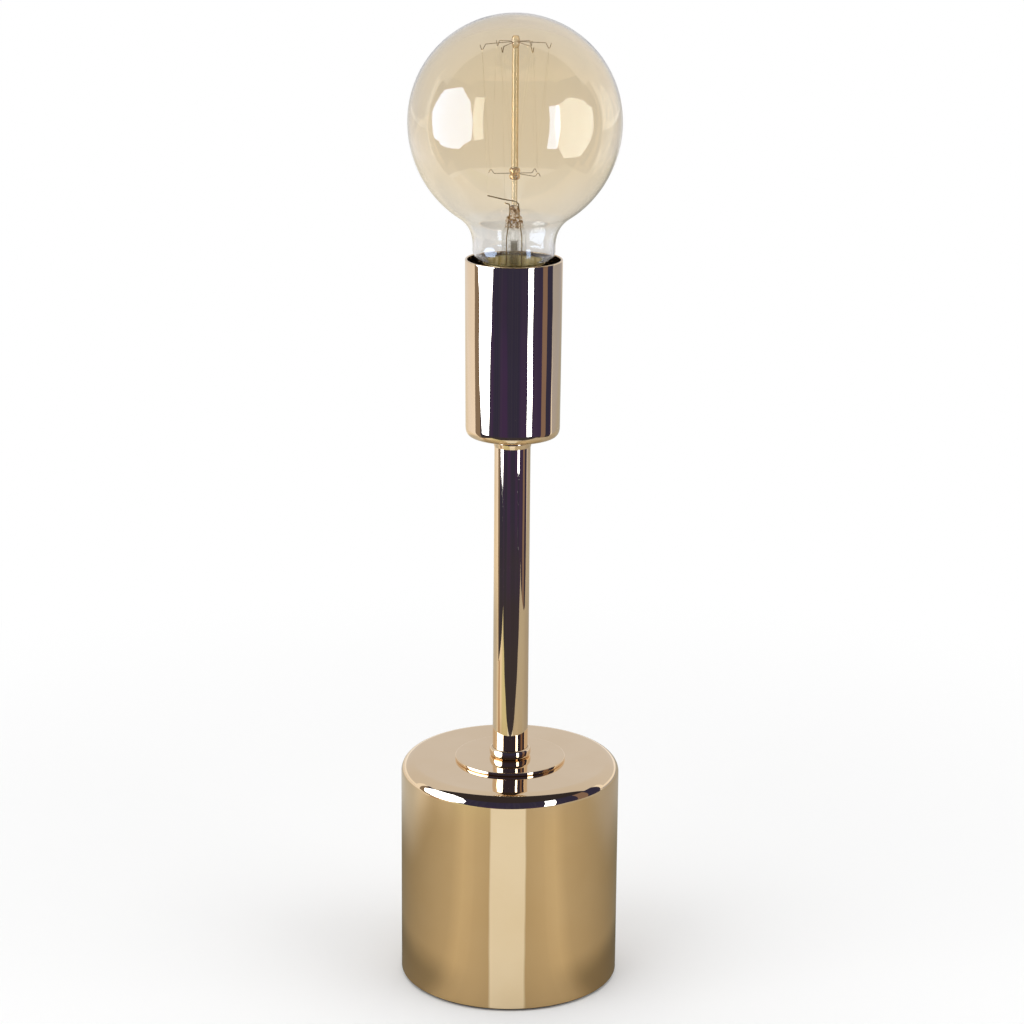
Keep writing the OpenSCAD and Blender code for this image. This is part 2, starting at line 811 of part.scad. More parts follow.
// Flared foot, straight tube and the flat pressed end that holds the wires
module glass_stem() {
    flare_r = tail_r - glass_t - 0.1;
    flare_z = tail_z + 8;
    color(clear_glass)
        union() {
            rotate_extrude()
                polygon(concat(
                    [[flare_r, tail_z]],
                    curve([flare_r, tail_z + 0.8], [flare_r - 0.5, tail_z + 4],
                          [tube_r, tail_z + 4.5], [tube_r, flare_z], 6),
                    [[tube_r, tube_top_z]],
                    arc(tube_r - 1.5, tube_top_z, 1.5, 0, 90, 4),
                    [[0, tube_top_z + 1.5], [0, tube_top_z - 0.5], [tube_r - tube_wall, tube_top_z - 0.5]],
                    curve([tube_r - tube_wall, flare_z], [tube_r - tube_wall, tail_z + 4],
                          [flare_r - 1.5, tail_z + 3.2], [flare_r - 1, tail_z], 6)));
            intersection() {
                translate([0, 0, tube_top_z + 1])
                    cylinder(r1 = tube_r - 1, r2 = press_tip_r, h = press_top_z - tube_top_z - 1);
                translate([-tube_r, -press_t / 2, tube_top_z])
                    cube([2 * tube_r, press_t, press_top_z - tube_top_z]);
            }
        }
}

module exhaust_tube() {
    color(clear_glass)
        flat_ring(exhaust_r - exhaust_wall, exhaust_r, exhaust_z, tube_top_z - 0.5 - fit_gap - exhaust_z);
}

module glass_rod() {
    color(amber_glass)
        rotate_extrude()
            polygon([[0, press_top_z], [rod_glass_r - 0.2, press_top_z],
                     [rod_glass_r - 0.2, lower_bead_z - bead_half_h],
                     [rod_glass_r, lower_bead_z], [rod_glass_r, upper_bead_z - bead_half_h],
                     [0, upper_bead_z - bead_half_h]]);
}

// A bead of glass melted round the rod, or over its end where in_r is 0
module bead(z, r, in_r) {
    rotate_extrude()
        polygon([[in_r, z - bead_half_h], [r - 0.5, z - bead_half_h], [r, z - bead_half_h / 2],
                 [r, z + bead_half_h / 2], [r - 0.5, z + bead_half_h], [in_r, z + bead_half_h]]);
}

module lower_bead() {
    color(amber_glass)
        bead(lower_bead_z, lower_bead_r, rod_glass_r + fit_gap);
}

module upper_bead() {
    color(amber_glass)
        bead(upper_bead_z, upper_bead_r, 0);
}

// A support wire: from its bead to a V at its end, v_h deep
function support_path(angle, z, start_r, reach, v_h) =
    [for (p = [[start_r, 0], [reach - 2.6, -0.05 * reach], [reach - 1.3, -0.05 * reach - v_h],
               [reach - 0.8, -0.05 * reach - v_h], [reach, -0.05 * reach - 0.1 * v_h]])
        turned(p[0], angle, z + p[1])];

module supports(angles, z, start_r, reach, v_h) {
    for (angle = angles)
        wire(support_path(angle, z, start_r, reach, v_h), support_d, [for (i = [0:4]) sideways(angle)]);
}

module upper_supports() {
    color(wire_grey)
        supports(upper_angles, upper_bead_z, rod_glass_r - 0.4, upper_reach, upper_v_h);
}

module lower_supports() {
    color(wire_grey)
        supports(lower_angles, lower_bead_z, rod_glass_r + 0.5, lower_reach, lower_v_h);
}

// The filament passes a hook inside the V of its wire, from one side of the wire to the other
function hook_pass(angle, reach, z, v_h) =
    let (hook = turned(reach - 1.05, angle, z - 0.05 * reach - v_h + sign(v_h) * hook_gap))
    [for (side = [1, -1]) hook + side * (hook_gap + 0.15) * sideways(angle)];
function upper_pass(angle) = hook_pass(angle, upper_reach, upper_bead_z, upper_v_h);
function lower_pass(angle) = hook_pass(angle, lower_reach, lower_bead_z, lower_v_h);

// One wire rises from the cap's edge, the other from its tip; both pass the press
module lead_wires() {
    to_cap = [[cap_bore_r - 0.5, 0, tail_z - 2.4], [7, 0, tail_z - 2.6], [wire_x, 0, tail_z + 2],
              [wire_x, 0, tube_top_z + 1], [2, 0, press_top_z - 3], [1.9, -0.6, press_top_z + 0.5],
              [0.6, -2.4, press_top_z + 1.9], [-5.6, -3.6, press_top_z + 3.2], lead_end[0]];
    to_tip = [[0, 0, insulator_z + 0.6], [0, 0, insulator_top_z + 1.2], [-wire_x, 0, exhaust_z - 1.5],
              [-wire_x, 0, tube_top_z + 1], [-2, 0, press_top_z - 3], [-2.1, -0.6, press_top_z + 0.3],
              lead_end[1]];
    color(wire_grey) {
        wire(to_cap, lead_d, [for (p = to_cap) [0, 1, 0.2]]);
        wire(to_tip, lead_d, [for (p = to_tip) [0, 1, 0.2]]);
    }
}

// One strand, up and down between the hooks and ending beside the two lead wires
module filament() {
    beside = [0, 0, lead_d / 2 + filament_d / 2 + 0.1];
    path = concat(
        [lead_end[0] + beside],
        upper_pass(upper_angles[0]),
        [for (i = [0:len(lower_angles) - 1])
            each concat(lower_pass(lower_angles[i]), upper_pass(upper_angles[i + 1]))],
        [lead_end[1] + beside]);
    color(wire_grey)
        wire(path, filament_d, [for (p = path) unit([p[0], p[1], 0])], 4);
}

felt_pad();
base_plate();
plate_screws();
base_weight();
weight_washers();
base_can();
cord_grommet();
can_washer();
star_washers();
rod_nuts();
threaded_rod();
base_disc();
foot_ring();
stem_tube();
stem_bushes();
top_collar();
holder_cup();
cup_washer();
holder_base();
holder_grub_screw();
contact_block();
terminals();
terminal_screws();
contact_rivets();
screw_shell();
holder_sleeve();
centre_contact();
tip_contact();
cap_insulator();
bulb_cap();
bulb_glass();
glass_stem();
exhaust_tube();
glass_rod();
lower_bead();
upper_bead();
lower_supports();
upper_supports();
lead_wires();
filament();
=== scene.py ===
"""Bare bulb table lamp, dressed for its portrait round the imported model.

Lengths are in metres and angles in degrees. The lamp's axis is Z, the camera stands at -Y and the cord's
inlet is at +Y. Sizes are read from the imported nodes' boxes, or stand beside them as named fields.
"""

from __future__ import annotations

import json
import logging
import math
from dataclasses import dataclass, field
from enum import Enum
from typing import Callable, Iterable, Mapping, Sequence, Union

import bmesh
import bpy
from mathutils import Matrix, Vector


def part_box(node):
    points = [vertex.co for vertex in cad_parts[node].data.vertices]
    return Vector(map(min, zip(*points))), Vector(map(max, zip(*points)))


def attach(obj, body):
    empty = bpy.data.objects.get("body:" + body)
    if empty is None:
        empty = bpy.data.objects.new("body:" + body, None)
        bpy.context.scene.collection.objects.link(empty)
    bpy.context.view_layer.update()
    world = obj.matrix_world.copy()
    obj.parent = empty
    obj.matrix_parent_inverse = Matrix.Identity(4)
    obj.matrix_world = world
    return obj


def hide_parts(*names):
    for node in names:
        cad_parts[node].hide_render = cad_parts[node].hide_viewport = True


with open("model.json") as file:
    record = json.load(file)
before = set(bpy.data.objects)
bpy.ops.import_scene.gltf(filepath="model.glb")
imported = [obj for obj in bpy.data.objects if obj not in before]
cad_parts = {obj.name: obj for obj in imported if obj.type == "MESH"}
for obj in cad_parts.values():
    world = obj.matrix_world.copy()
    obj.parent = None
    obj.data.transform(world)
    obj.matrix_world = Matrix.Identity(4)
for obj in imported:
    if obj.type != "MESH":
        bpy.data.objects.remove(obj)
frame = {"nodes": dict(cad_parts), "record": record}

MM = 0.001
TINY = 1e-7
WHITE = (1.0, 1.0, 1.0, 1.0)
Point = tuple[float, float]
Place = tuple[float, float, float]
Colour = tuple[float, float, float]

log = logging.getLogger("lamp")


# ---------- Node trees ----------


def operator(operation: str, swapped: bool = False) -> Callable[[Signal, Operand], Signal]:
    """Make the method behind one of Python's operators.

    Args:
        operation: the Math node's operation.
        swapped: whether the other value comes first.

    Returns:
        The method.
    """

    def worked(self: Signal, other: Operand) -> Signal:
        """Add the operation's Math node."""
        values = (other, self) if swapped else (self, other)
        return self.board.maths(operation, *values)

    return worked


class Signal:
    """A number that varies over a surface or a mesh, wired by Python arithmetic."""

    def __init__(self, board: Board, socket: bpy.types.NodeSocket) -> None:
        """Wrap one output socket of a board's tree."""
        self.board = board
        self.socket = socket

    __add__ = __radd__ = operator("ADD")
    __mul__ = __rmul__ = operator("MULTIPLY")
    __sub__, __rsub__ = operator("SUBTRACT"), operator("SUBTRACT", swapped=True)
    __truediv__, __rtruediv__ = operator("DIVIDE"), operator("DIVIDE", swapped=True)
    __pow__ = operator("POWER")

    def maths(self, operation: str, *others: Operand) -> Signal:
        """Add a Math node whose first value is this signal."""
        return self.board.maths(operation, self, *others)

    def clamped(self) -> Signal:
        """Keep the number between 0 and 1."""
        return self.board.maths("ADD", self, 0.0, clamp=True)

    def rise(self, low: float, high: float) -> Signal:
        """Go smoothly from 0 at low to 1 at high.

        Args:
            low: value at which the result is 0.
            high: value at which the result is 1; it may be below low.

        Returns:
            The eased signal.
        """
        inputs = {"Value": self, "From Min": low, "From Max": high}
        return self.board.value("ShaderNodeMapRange", inputs, interpolation_type="SMOOTHSTEP")


Operand = Union[Signal, float]


class Board:
    """Adds nodes to one node tree."""

    def __init__(self, tree: bpy.types.NodeTree) -> None:
        """Take over a tree and empty it."""
        self.tree = tree
        tree.nodes.clear()

    def node(self, kind: str, inputs: Mapping | None = None, **settings: object) -> bpy.types.Node:
        """Add one node.

        Args:
            kind: the node's type.
            inputs: values or links by socket name or index.
            settings: properties, set before the inputs.

        Returns:
            The new node.
        """
        made = self.tree.nodes.new(kind)
        for name, value in settings.items():
            setattr(made, name, value)
        for key, value in (inputs or {}).items():
            self.feed(made, key, value)
        return made

    def feed(self, node: bpy.types.Node, key: str | int, value: object) -> None:
        """Set or link one input.

        Args:
            node: the node.
            key: the socket's index, or its name among the sockets in use.
            value: a number, a colour, a Signal, or a node whose first output is linked.
        """
        if isinstance(key, int):
            socket = node.inputs[key]
        else:
            socket = next(s for s in node.inputs if s.enabled and s.name == key)
        if isinstance(value, Signal):
            self.tree.links.new(value.socket, socket)
        elif isinstance(value, bpy.types.Node):
            self.tree.links.new(value.outputs[0], socket)
        else:
            socket.default_value = value

    def read(self, node: bpy.types.Node, name: str | None = None) -> Signal:
        """Read a node's output by name, or the first one in use."""
        return Signal(self, next(s for s in node.outputs if s.enabled and name in (None, s.name)))

    def value(self, kind: str, inputs: Mapping | None = None, **settings: object) -> Signal:
        """Add one node and read its first output in use."""
        return self.read(self.node(kind, inputs, **settings))

    def maths(self, operation: str, *values: Operand, clamp: bool = False) -> Signal:
        """Add one Math node.

        Args:
            operation: the Math node's operation.
            values: its inputs, in order.
            clamp: whether the result is kept between 0 and 1.

        Returns:
            The node's output.
        """
        return self.value("ShaderNodeMath", dict(enumerate(values)), operation=operation, use_clamp=clamp)

    def split(self, vector: Signal) -> tuple[Signal, ...]:
        """The three numbers of a vector."""
        axes = self.node("ShaderNodeSeparateXYZ", {0: vector})
        return tuple(self.read(axes, letter) for letter in "XYZ")

    def vector(self, **axes: Operand) -> Signal:
        """A vector with the given numbers along X, Y and Z."""
        return self.value("ShaderNodeCombineXYZ", axes)

    def mixed(self, share: Operand, first: bpy.types.Node, second: bpy.types.Node) -> bpy.types.Node:
        """Mix two shaders, all first at share 0 and all second at 1."""
        return self.node("ShaderNodeMixShader", {0: share, 1: first, 2: second})


class Surface(Board):
    """The node tree of a material, with its patterns on Object coordinates."""

    def __init__(self, tree: bpy.types.NodeTree) -> None:
        """Take over the tree and place the coordinates."""
        super().__init__(tree)
        self.place = self.read(self.node("ShaderNodeTexCoord"), "Object")
        self.x, self.y, self.z = self.split(self.place)

    def noise(self, size: float, detail: float = 2.0, stretch: Place = (1.0, 1.0, 1.0)) -> Signal:
        """Soft noise.

        Args:
            size: size of its largest features, in metres.
            detail: how many finer layers it has.
            stretch: how much longer the features are along each axis.

        Returns:
            The noise, from 0 to 1.
        """
        scale = tuple(1 / (size * s) for s in stretch)
        spread = self.value("ShaderNodeMapping", {"Vector": self.place, "Scale": scale})
        return self.value("ShaderNodeTexNoise", {"Vector": spread, "Scale": 1.0, "Detail": detail})

    def cells(self, size: float) -> Signal:
        """Distance to the nearest of scattered points, for flakes and pores of that size."""
        return self.value("ShaderNodeTexVoronoi", {"Vector": self.place, "Scale": 1 / size})

    def radius(self) -> Signal:
        """Distance from the lamp's axis, in metres."""
        return (self.x * self.x + self.y * self.y) ** 0.5

    def blend(self, share: Operand, first: object, second: object) -> Signal:
        """Mix two colours, all first at share 0 and all second at 1."""
        first, second = (c if isinstance(c, Signal) else (*c, 1.0) for c in (first, second))
        return self.value("ShaderNodeMix", {"Factor": share, "A": first, "B": second}, data_type="RGBA")

    def bump(self, height: Signal, depth: float) -> Signal:
        """Turn a height of 0 to 1 into a surface normal, depth metres deep."""
        return self.value("ShaderNodeBump", {"Height": height, "Distance": depth})


def painted(name: str, build: Callable[[Surface], bpy.types.Node]) -> bpy.types.Material:
    """Make a material.

    Args:
        name: its name.
        build: adds its nodes to an empty tree and gives the last shader.

    Returns:
        The material.
    """
    made = bpy.data.materials.new(name)
    made.use_nodes = True
    surface = Surface(made.node_tree)
    surface.node("ShaderNodeOutputMaterial", {"Surface": build(surface)})
    return made


# ---------- Finishes ----------


class Lay(Enum):
    """How the marks of making run over a metal."""

    NONE = "none"
    TURNED = "rings round the axis"
    DRAWN = "lines along the axis"


@dataclass(frozen=True)
class Finish:
    """A material slot's finish, made from two colours and a roughness."""

    slot: str
    colour: Colour
    second: Colour
    roughness: float

    def inputs(self, surface: Surface) -> dict[str, object]:
        """Work out what the shader's sockets get.

        Args:
            surface: the material's tree.

        Returns:
            A number, a colour or a signal for each socket.
        """
        raise NotImplementedError

    def shader(self, surface: Surface) -> bpy.types.Node:
        """Build the finish as a Principled shader."""
        return surface.node("ShaderNodeBsdfPrincipled", self.inputs(surface))


@dataclass(frozen=True)
class Polished(Finish):
    """Bright electroplate: a mirror with faint waves, haze and dust, less bright inside the cup."""

    wave: float = 0.011
    wave_depth: float = 9e-5
    haze: float = 0.05
    dust: Colour = (0.55, 0.48, 0.38)
    raw_haze: float = 0.14
    raw_radius: float = 0.0213
    raw_bottom: float = 0.263
    raw_seam: float = 1e-4

    def inputs(self, surface: Surface) -> dict[str, object]:
        """Patches of tint, smears that dull the mirror, slow waves in the sheet, and the cup's inside.

        Args:
            surface: the material's tree.

        Returns:
            What each socket gets.
        """
        smears = surface.noise(0.012, 5.0, (1.0, 1.0, 3.5)).rise(0.5, 0.78)
        specks = surface.cells(0.0021).rise(0.07, 0.02) * surface.noise(0.02, 2.0).rise(0.5, 0.7)
        tint = surface.blend(surface.noise(0.03, 3.0).rise(0.3, 0.75), self.colour, self.second)
        raw = surface.radius().rise(self.raw_radius, self.raw_radius - self.raw_seam)
        raw = raw * surface.z.rise(self.raw_bottom, self.raw_bottom + self.raw_seam)
        return {
            "Metallic": 1.0,
            "Base Color": surface.blend(specks * 0.25, tint, self.dust),
            "Roughness": raw * self.raw_haze + self.roughness + smears * self.haze + specks * 0.15,
            "Normal": surface.bump(surface.noise(self.wave, 0.0, (1.0, 1.0, 1.6)), self.wave_depth),
        }


@dataclass(frozen=True)
class Worked(Finish):
    """Rolled, turned or cast metal with the marks of its making."""

    lay: Lay = Lay.NONE
    grain: float = 0.0004
    relief: float = 3e-6
    stain: float = 0.5

    def inputs(self, surface: Surface) -> dict[str, object]:
        """Stains, and a grain that follows the lay.

        Args:
            surface: the material's tree.

        Returns:
            What each socket gets.
        """
        stains = surface.noise(0.009, 4.0).rise(0.42, 0.7) * self.stain
        if self.lay is Lay.TURNED:
            rings = {"W": surface.radius() / self.grain, "Detail": 3.0, "Scale": 1.0}
            marks = surface.value("ShaderNodeTexNoise", rings, noise_dimensions="1D")
        elif self.lay is Lay.DRAWN:
            marks = surface.noise(self.grain, 2.0, (1.0, 1.0, 40.0))
        else:
            marks = surface.noise(self.grain, 4.0)
        return {
            "Metallic": 1.0,
            "Base Color": surface.blend(stains, self.colour, self.second),
            "Roughness": self.roughness + stains * 0.2 + (marks - 0.5) * 0.15,
            "Normal": surface.bump(marks, self.relief),
        }


@dataclass(frozen=True)
class Moulded(Finish):
    """Plastic, rubber or fired clay: a skin with mottling, scuffs and pores."""

    grain: float = 0.0006
    relief: float = 1.2e-5
    scuffs: float = 0.4

    def inputs(self, surface: Surface) -> dict[str, object]:
        """A mottled colour, scuffs that are paler than it, and open pores.

        Args:
            surface: the material's tree.

        Returns:
            What each socket gets.
        """
        mottle = surface.noise(0.006, 5.0).rise(0.35, 0.7)
        scuff = surface.noise(0.0015, 3.0, (1.0, 1.0, 5.0)).rise(0.6, 0.72) * self.scuffs
        tint = surface.blend(mottle * 0.6, self.colour, self.second)
        worn = tuple(min(1.0, 1.4 * c + 0.05) for c in self.second)
        return {
            "Base Color": surface.blend(scuff * 0.5, tint, worn),
            "Roughness": self.roughness + scuff * 0.2 - mottle * 0.06,
            "Normal": surface.bump(surface.cells(self.grain) + mottle * 0.5, self.relief),
        }


@dataclass(frozen=True)
class Felted(Finish):
    """Pressed wool felt."""

    fibre: float = 0.00035
    nap_depth: float = 2e-4

    def inputs(self, surface: Surface) -> dict[str, object]:
        """Two layers of crossed fibres with a dry nap, paler ones among the dark.

        Args:
            surface: the material's tree.

        Returns:
            What each socket gets.
        """
        along = surface.noise(self.fibre, 3.0, (9.0, 1.0, 1.0))
        fibres = along.maths("MAXIMUM", surface.noise(self.fibre, 3.0, (1.0, 9.0, 1.0)))
        return {
            "Sheen Weight": 0.35,
            "Sheen Roughness": 0.6,
            "Specular IOR Level": 0.1,
            "Base Color": surface.blend(fibres.rise(0.5, 0.75), self.colour, self.second),
            "Roughness": self.roughness - fibres * 0.1,
            "Normal": surface.bump(fibres + surface.noise(0.004, 2.0), self.nap_depth),
        }


@dataclass(frozen=True)
class Blown(Finish):
    """Clear glass with a stain above one line, and golden cement on it below another.

    The stain is as strong as middle where the glass faces the eye, and as rim at its edges. This change by
    facing is painted light: a paler rim is a painted reflection, a darker rim is painted shade.
    """

    stain_bottom: float = -1.0
    cement_top: float = -1.0
    soft: float = 0.0015
    metal: float = 0.0
    wave_depth: float = 3e-5
    middle: float = 1.0
    rim: float = 0.4
    cement_dark: Colour = (0.62, 0.48, 0.17)
    cement_pale: Colour = (1.0, 0.88, 0.48)
    cement_soft: float = 0.0002

    def inputs(self, surface: Surface) -> dict[str, object]:
        """An uneven stain, slow waves, a little dust, and the film of metal that throws light back.

        Args:
            surface: the material's tree.

        Returns:
            What each socket gets.
        """
        height = surface.z + (surface.noise(0.02, 2.0) - 0.5) * (2 * self.soft)
        stain = height.rise(self.stain_bottom - self.soft, self.stain_bottom + self.soft)
        depth = 1.0 - surface.noise(0.05, 3.0).rise(0.3, 0.8) * 0.1
        depth = depth * (surface.z.rise(self.stain_bottom, self.stain_bottom + 0.03) * 0.4 + 0.6)
        # Painted reflection and shade: the stain follows how squarely the glass faces the eye
        edge = surface.read(surface.node("ShaderNodeLayerWeight", {"Blend": 0.5}), "Facing").clamped()
        share = stain * depth * (edge * (self.rim - self.middle) + self.middle)
        dust = surface.cells(0.004).rise(0.06, 0.02) * surface.noise(0.03, 2.0).rise(0.52, 0.7)
        return {
            "Transmission Weight": 1.0,
            "IOR": 1.47,
            "Metallic": self.metal,
            "Base Color": surface.blend(share.clamped(), self.colour, self.second),
            "Roughness": self.roughness + dust * 0.2,
            "Normal": surface.bump(surface.noise(0.014, 1.0, (1.0, 1.0, 1.6)), self.wave_depth),
        }

    def shader(self, surface: Surface) -> bpy.types.Node:
        """Build the glass, and cover its lowest part with cement.

        Args:
            surface: the material's tree.

        Returns:
            The last shader.
        """
        glass = super().shader(surface)
        if self.cement_top < 0:
            return glass
        streaks = surface.noise(0.003, 3.0, (1.0, 1.0, 6.0)).rise(0.35, 0.65)
        cement = surface.node("ShaderNodeBsdfPrincipled", {
            "Base Color": surface.blend(streaks, self.cement_dark, self.cement_pale),
            "Roughness": 0.4,
            "Normal": surface.bump(surface.noise(0.0012, 3.0), 1e-4),
        })
        edge = surface.z + (surface.noise(0.003, 2.0) - 0.5) * (3 * self.cement_soft)
        share = edge.rise(self.cement_top + self.cement_soft, self.cement_top - self.cement_soft)
        return surface.mixed(share, glass, cement)


@dataclass(frozen=True)
class Drawn(Finish):
    """Thin drawn glass, streaked along its length, and melted round burnt wires above a line."""

    melt_bottom: float = 0.0
    thin: float = 0.05
    streak: Colour = (0.62, 0.50, 0.25)
    glint_fleck: Colour = (1.0, 0.93, 0.66)
    burnt: Colour = (0.20, 0.08, 0.02)

    def inputs(self, surface: Surface) -> dict[str, object]:
        """Streaks in the wall, golden melt, burnt specks, and bright flecks that are painted glints.

        Args:
            surface: the material's tree.

        Returns:
            What each socket gets.
        """
        height = surface.z + (surface.noise(0.003, 2.0) - 0.5) * 0.003
        melt = height.rise(self.melt_bottom - 0.0004, self.melt_bottom + 0.0008)
        streaks = surface.noise(0.0011, 2.0, (1.0, 1.0, 30.0)).rise(0.44, 0.66)
        specks = surface.noise(0.0013, 1.5).rise(0.53, 0.58)
        wall = surface.blend(streaks, self.colour, self.streak)
        # Painted glints: pale flecks in the melt's colour
        golden = surface.blend(surface.noise(0.0022, 2.0).rise(0.52, 0.66), self.second, self.glint_fleck)
        fill = streaks * 0.16 + self.thin
        return {
            "Specular IOR Level": 0.8,
            "IOR": 1.5,
            "Base Color": surface.blend(melt, wall, surface.blend(specks * 0.9, golden, self.burnt)),
            "Roughness": self.roughness + specks * 0.1,
            "Alpha": fill + melt * (specks * 0.52 + 0.30 - fill),
            "Normal": surface.bump(surface.noise(0.0014, 2.0), 2.5e-4),
        }


AMBER_LINE = 0.3592
"""Height at which the amber of the globe gives way to the clear neck."""

CEMENT_LINE = 0.3411
"""Height up to which cement holds the globe in its cap."""

KNOT_LINE = 0.3570
"""Height from which the pressed end of the inner tube is stained by its wires."""

FINISHES: tuple[Finish, ...] = (
    Polished("gold_plate", (0.86, 0.665, 0.445), (0.83, 0.63, 0.405), 0.018),
    Worked("zinc_steel", (0.63, 0.64, 0.63), (0.42, 0.42, 0.38), 0.30, lay=Lay.TURNED),
    Worked("cast_iron", (0.050, 0.050, 0.053), (0.12, 0.075, 0.05), 0.62, grain=0.0011, relief=1.6e-4),
    Worked("bare_brass", (0.78, 0.57, 0.24), (0.50, 0.33, 0.13), 0.20, lay=Lay.TURNED, stain=0.45),
    Felted("felt", (0.018, 0.018, 0.021), (0.085, 0.083, 0.088), 0.97),
    Moulded("black_rubber", (0.020, 0.020, 0.021), (0.040, 0.039, 0.038), 0.62, grain=0.0009),
    Moulded("black_plastic", (0.017, 0.016, 0.017), (0.034, 0.031, 0.030), 0.34, scuffs=0.3),
    Moulded("porcelain", (0.84, 0.81, 0.74), (0.70, 0.66, 0.58), 0.44, grain=0.0005, relief=6e-6),
    Worked("solder", (0.55, 0.55, 0.55), (0.30, 0.29, 0.28), 0.34, grain=0.0013, relief=4e-5),
    Moulded("black_glass", (0.010, 0.010, 0.016), (0.030, 0.026, 0.040), 0.10, scuffs=0.1),
    # amber_glass: its default rim is paler than its middle, a painted reflection at its edges
    Blown("amber_glass", (0.978, 0.960, 0.930), (1.0, 0.898, 0.720), 0.0,
          stain_bottom=AMBER_LINE, cement_top=CEMENT_LINE),
    Drawn("clear_glass", (0.96, 0.88, 0.60), (1.0, 0.56, 0.10), 0.08, melt_bottom=KNOT_LINE),
    # rod_glass: its rim is stained darker than its middle, painted shade at its edges
    Blown("rod_glass", (0.98, 0.92, 0.74), (0.80, 0.50, 0.18), 0.01, metal=0.12, middle=0.12, rim=1.5),
    Worked("bulb_wire", (0.40, 0.27, 0.13), (0.18, 0.11, 0.055), 0.36, lay=Lay.DRAWN, grain=0.0002),
    Worked("filament_wire", (0.85, 0.70, 0.45), (0.70, 0.55, 0.33), 0.42, lay=Lay.DRAWN, grain=0.0001),
)


# ---------- Shapes ----------


@dataclass(frozen=True)
class Room:
    """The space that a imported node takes."""

    low: Vector
    high: Vector

    @classmethod
    def of(cls, node: str) -> Room:
        """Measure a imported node."""
        return cls(*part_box(node))

    @property
    def radius(self) -> float:
        """Half the width, for a round node on the lamp's axis."""
        return self.high.x

    @property
    def bottom(self) -> float:
        """Lowest height."""
        return self.low.z

    @property
    def top(self) -> float:
        """Greatest height."""
        return self.high.z

    @property
    def middle(self) -> float:
        """Height half-way up."""
        return (self.bottom + self.top) / 2

    @property
    def span(self) -> tuple[float, float, float]:
        """Radius, bottom and top."""
        return self.radius, self.bottom, self.top


def room(node: str) -> Room:
    """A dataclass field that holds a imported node's room."""
    return field(default_factory=lambda: Room.of(node))


class Corner(Enum):
    """Which corner of an outline is rounded, by the angle at which its arc starts."""

    OUTER_FOOT = -90
    OUTER_TOP = 0
    INNER_TOP = 90
    INNER_FOOT = 180


def rounded(corner: Corner, r: float, z: float, size: float, steps: int) -> list[Point]:
    """Round one corner of an outline.

    Args:
        corner: which one it is.
        r: radius at which it stands.
        z: its height.
        size: radius of the rounding.
        steps: steps in its arc.

    Returns:
        Points on a quarter of a circle, in the order of rising angle.
    """
    across = r - size if corner in (Corner.OUTER_FOOT, Corner.OUTER_TOP) else r + size
    level = z - size if corner in (Corner.OUTER_TOP, Corner.INNER_TOP) else z + size
    angles = [math.radians(corner.value + 90 * i / steps) for i in range(steps + 1)]
    return [(across + size * math.cos(a), level + size * math.sin(a)) for a in angles]


def rim(r: float, z0: float, z1: float, size: float, steps: int) -> list[Point]:
    """Points down the edge of a disc whose two corners are rounded, from its foot to its top."""
    return [*rounded(Corner.OUTER_FOOT, r, z0, size, steps), *rounded(Corner.OUTER_TOP, r, z1, size, steps)]


def beside(start: Sequence[float], *steps: Sequence[float]) -> list[tuple[float, ...]]:
    """Points whose distances from the start are given in millimetres."""
    return [tuple(s + d * MM for s, d in zip(start, step)) for step in steps]


def eased(share: float) -> float:
    """Go smoothly from 0 at share 0 to 1 at share 1."""
    return share * share * (3 - 2 * share)


def cubic(
    a: Sequence[float], b: Sequence[float], c: Sequence[float], d: Sequence[float], steps: int
) -> list[Point]:
    """Points on a cubic curve.

    Args:
        a: its start.
        b: the point that it leaves towards.
        c: the point that it arrives from.
        d: its end.
        steps: how many steps it has.

    Returns:
        The points from a to d.
    """
    shares = [i / steps for i in range(steps + 1)]
    return [
        tuple((1 - t) ** 3 * p + 3 * (1 - t) ** 2 * t * q + 3 * (1 - t) * t * t * r + t**3 * s
              for p, q, r, s in zip(a, b, c, d))
        for t in shares
    ]


def smooth(points: Sequence[Point], steps: int = 6) -> list[Point]:
    """Draw a curve that passes through all the given points.

    Args:
        points: the points.
        steps: steps between each two of them.

    Returns:
        Points on the curve.
    """
    ends = [points[0], *points, points[-1]]
    made = []
    for before, start, end, after in zip(ends, ends[1:], ends[2:], ends[3:]):
        lead = tuple(s + (e - b) / 6 for b, s, e in zip(before, start, end))
        tail = tuple(e - (a - s) / 6 for s, e, a in zip(start, end, after))
        made += cubic(start, lead, tail, end, steps)[:-1]
    return [*made, points[-1]]


def guarded(outline: Sequence[Point], guard: float = 0.3 * MM, step: float = 12 * MM) -> list[Point]:
    """Put points beside the corners of a closed outline, so that long straight walls reflect evenly.

    Args:
        outline: the points.
        guard: distance of the new points from a corner.
        step: greatest distance between points on a straight stretch.

    Returns:
        The longer outline.
    """
    made = []
    for start, end in zip(outline, [*outline[1:], outline[0]]):
        made.append(start)
        run = math.dist(start, end)
        if run > 4 * guard and max(start[0], end[0]) > TINY:
            count = max(1, math.ceil(run / step))
            shares = [guard / run, *(i / count for i in range(1, count)), 1 - guard / run]
            made += [tuple(p + (q - p) * t for p, q in zip(start, end)) for t in shares]
    return made


def new_object(name: str, mesh: bpy.types.Mesh) -> bpy.types.Object:
    """Link a new object that holds the mesh."""
    made = bpy.data.objects.new(name, mesh)
    bpy.context.scene.collection.objects.link(made)
    return made


def poured(name: str, shape: bmesh.types.BMesh, sharp: float = 40.0) -> bpy.types.Object:
    """Turn a bmesh into a smooth object with its faces outwards.

    Args:
        name: the new object's name.
        shape: the bmesh, which is freed.
        sharp: edges that turn by more than this stay sharp, in degrees.

    Returns:
        The new object.
    """
    bmesh.ops.recalc_face_normals(shape, faces=shape.faces)
    mesh = bpy.data.meshes.new(name)
    shape.to_mesh(mesh)
    shape.free()
    mesh.shade_smooth()
    mesh.set_sharp_from_angle(angle=math.radians(sharp))
    return new_object(name, mesh)


